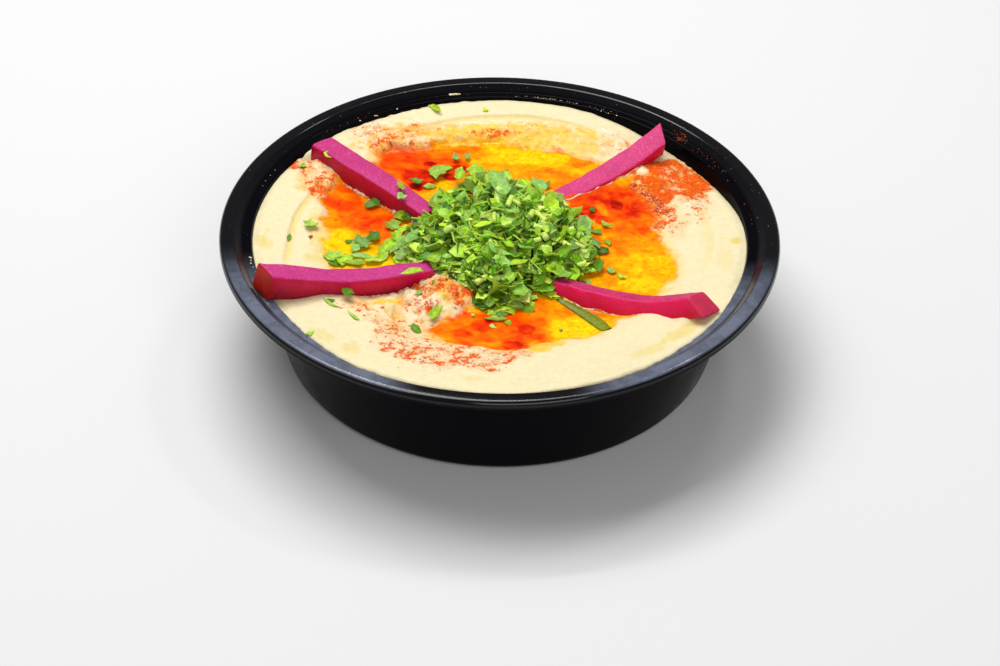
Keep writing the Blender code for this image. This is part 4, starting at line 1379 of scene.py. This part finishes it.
def make_rim_bits():
    """Crumbs of hummus on the ledge and lip, where the filling touched them; the fine row at 79 degrees
    is also a painted highlight line.
    """
    rng = np.random.default_rng(31)
    spots = []
    # The fine row at 79 degrees is partly crumbs and partly a painted highlight line along the ledge
    # edge
    for middle, spread, radius, count, size in (
            (102, 1.6, 85.0, 16, 0.42), (79, 9, 82.9, 46, 0.11), (66, 8, 83.0, 8, 0.10),
            (192, 3.0, 82.9, 4, 0.26), (196, 4, 82.6, 4, 0.16), (-152, 6, 84.3, 5, 0.16),
            (165, 12, 84.0, 4, 0.12), (118, 14, 81.8, 4, 0.22), (60, 12, 81.8, 5, 0.2)):
        for _ in range(count):
            angle = math.radians(rng.normal(middle, spread / 2))
            reach = (radius + rng.normal(0, 0.18)) * MM
            on_lip = reach > LIP_IN - 0.2 * MM
            z = RIM_Z if on_lip else LEDGE_Z
            spots.append((reach * math.cos(angle), reach * math.sin(angle), z + 0.08 * MM,
                          size * rng.uniform(0.5, 1.5) * MM))
    spots = np.array(spots)
    piece = blob_mesh("rim_crumbs", spots[:, :3], spots[:, 3], rng, 0.45, round_ball())
    look = Nodes("rim_crumb_look")
    look.set("Base Color", look.blend(look.spread(look.noise(600.0), 0.35, 0.65),
                                      linear(226, 208, 150), linear(246, 232, 190)))
    look.fixed(Roughness=0.5)
    piece.data.materials.append(look.material)


def stick_edge(name, low, high, count, side):
    """Places along the foot of a stick, on one side, and the way out from it."""
    route, width, height, taper, *_ = STICKS[name]
    path = smooth_route(np.array(route) * MM, 200)
    run = np.gradient(path[:, :2], axis=0)
    away = np.stack([run[:, 1], -run[:, 0]], 1) / np.hypot(run[:, 0], run[:, 1])[:, None]
    away *= side * np.sign(-away[:, 1:2])
    shares = np.linspace(low, high, count)
    rows = np.round(shares * 199).astype(int)
    half = 0.5 * width * MM * (1.0 + (taper - 1.0) * shares)
    return path[rows, :2] + away[rows] * half[:, None], away[rows]


def make_menisci():
    """Raised rims of oil along the sticks' feet, with glints painted white into their colour."""
    points, faces, tints = [], [], []
    for seed, (name, low, high, side, size) in enumerate((
            ("pickle_2", 0.22, 0.99, 1, 0.62), ("pickle_1", 0.36, 0.72, 1, 0.92),
            ("pickle_1", 0.74, 0.97, 1, 0.92), ("pickle_4", 0.40, 0.98, 1, 0.38),
            ("pickle_3", 0.52, 0.78, 1, 0.36))):
        count, sides = 120, 8
        foot, away = stick_edge(name, low, high, count, side)
        along = np.linspace(0, 1, count)
        thick = size * MM * (0.55 + 0.45 * noise(along * 14, 0 * along, 1.0, 200 + seed))
        thick = np.maximum(thick, 0.06 * MM) * ease(0, 0.06, along) * ease(0, 0.06, 1 - along)
        wander = 0.50 * MM + 0.45 * MM * noise(along * 16, 0 * along, 1.0, 230 + seed)
        middle = foot + away * wander[:, None]
        z = hummus_top(middle[:, 0], middle[:, 1]) + 0.05 * MM
        start = len(points)
        # Painted highlight: stretches of the rims are coloured near white as glints
        glint = ease(-0.5, 0.2, noise(along * 24, 0 * along, 1.0, 260 + seed))
        for place in range(count):
            for step in range(sides):
                turn = 2 * math.pi * step / sides
                out = middle[place] + away[place] * math.cos(turn) * thick[place]
                points.append((out[0], out[1], z[place] + math.sin(turn) * thick[place]))
                tints.append(mix(np.array(linear(238, 112, 40)), linear(255, 238, 216),
                                 glint[place]))
        for row in range(count - 1):
            for step in range(sides):
                after = (step + 1) % sides
                a = start + row * sides
                faces.append((a + step, a + after, a + sides + after, a + sides + step))
    piece = new_piece("oil_rims", points, faces)
    add_values(piece, "tint", np.array(tints))
    look = Nodes("oil_rim_painted_glint_look")
    look.set("Base Color", look.blend(look.spread(look.noise(900.0), 0.4, 0.7, 0.0, 0.4),
                                      look.colour("tint"), linear(250, 150, 70)))
    look.fixed(Roughness=0.08)
    piece.data.materials.append(look.material)


def make_beads():
    """Wet lumps of paprika between the oil and the dry powder at the right, with glints painted pale
    into their colour.
    """
    rng = np.random.default_rng(41)
    share = rng.random(120)
    line = np.array([44.0, 34.0]) + share[:, None] * np.array([10.5, -18.5])
    line[:, 0] += 1.6 * np.sin(share * 3.1)
    places = (line + rng.normal(0, 1.0, (120, 2))) * MM
    z = hummus_top(places[:, 0], places[:, 1])
    sizes = rng.uniform(0.2, 0.65, 120) * MM
    spots = np.column_stack([places, z + 0.1 * MM])
    piece = blob_mesh("wet_paprika", spots, sizes, rng, 0.45, round_ball())
    look = Nodes("wet_paprika_painted_glint_look")
    shade = look.blend(look.spread(look.noise(420.0), 0.35, 0.62), linear(206, 62, 20),
                       linear(246, 132, 62))
    # Painted highlight: pale pink spots stand for glints on the wet lumps
    look.set("Base Color", look.blend(look.spread(look.noise(1100.0), 0.60, 0.72), shade,
                                      linear(250, 196, 170)))
    look.fixed(Roughness=0.10)
    piece.data.materials.append(look.material)


# Floor, light and camera

def make_stage():
    size = 3.0
    floor = bpy.data.meshes.new("floor")
    floor.from_pydata([(-size, -size, 0), (size, -size, 0), (size, size, 0), (-size, size, 0)],
                      [], [(0, 1, 2, 3)])
    item = bpy.data.objects.new("floor", floor)
    bpy.context.scene.collection.objects.link(item)
    look = Nodes("floor_look")
    look.fixed(Base_Color=(0.80, 0.80, 0.80, 1.0), Roughness=0.8, Specular_IOR_Level=0.1)
    item.data.materials.append(look.material)
    world = bpy.data.worlds.new("studio")
    bpy.context.scene.world = world
    world.use_nodes = True
    world.node_tree.nodes["Background"].inputs["Color"].default_value = (1.0, 1.0, 1.0, 1.0)
    world.node_tree.nodes["Background"].inputs["Strength"].default_value = 0.20


def add_light(name, place, target, width, height, power, colour=(1.0, 1.0, 1.0)):
    light = bpy.data.lights.new(name, "AREA")
    light.shape = "RECTANGLE"
    light.size = width
    light.size_y = height
    light.energy = power
    light.color = colour
    item = bpy.data.objects.new(name, light)
    item.location = place
    item.rotation_euler = (Vector(target) - Vector(place)).to_track_quat("-Z", "Y").to_euler()
    bpy.context.scene.collection.objects.link(item)


def make_lights():
    aim = (0.0, 0.0, 0.03)
    add_light("key", (-0.25, 0.35, 1.15), aim, 0.9, 0.7, 11.3)
    add_light("spark", (0.44, 0.50, 1.0), aim, 0.20, 0.10, 1.0)
    add_light("back_line", (-0.10, 0.58, 1.06), aim, 0.60, 0.05, 2.2)
    add_light("fill", (0.3, -1.2, 1.0), aim, 1.0, 0.8, 6.9)


def make_camera():
    """The photo's view: 38 degrees down on the bowl, from the front, with a slight roll."""
    camera = bpy.data.cameras.new("camera")
    camera.sensor_width = 36.0
    camera.lens = 93.6
    camera.clip_start = 0.05
    item = bpy.data.objects.new("camera", camera)
    down, roll = math.radians(37.91), math.radians(1.045)
    item.matrix_world = (Matrix.Translation((0.65 * MM, -699.5 * MM, 544.8 * MM))
                         @ Matrix.Rotation(math.pi / 2 - down, 4, "X")
                         @ Matrix.Rotation(roll, 4, "Z"))
    bpy.context.scene.collection.objects.link(item)
    bpy.context.scene.camera = item
    bpy.context.scene.view_settings.view_transform = "Standard"


make_camera()
make_stage()
make_lights()
make_bowl()
make_hummus()
make_sticks()
make_heap_core()
make_leaves()
make_sunk_leaf()
make_stems()
make_grains()
make_rim_bits()
make_menisci()
make_beads()
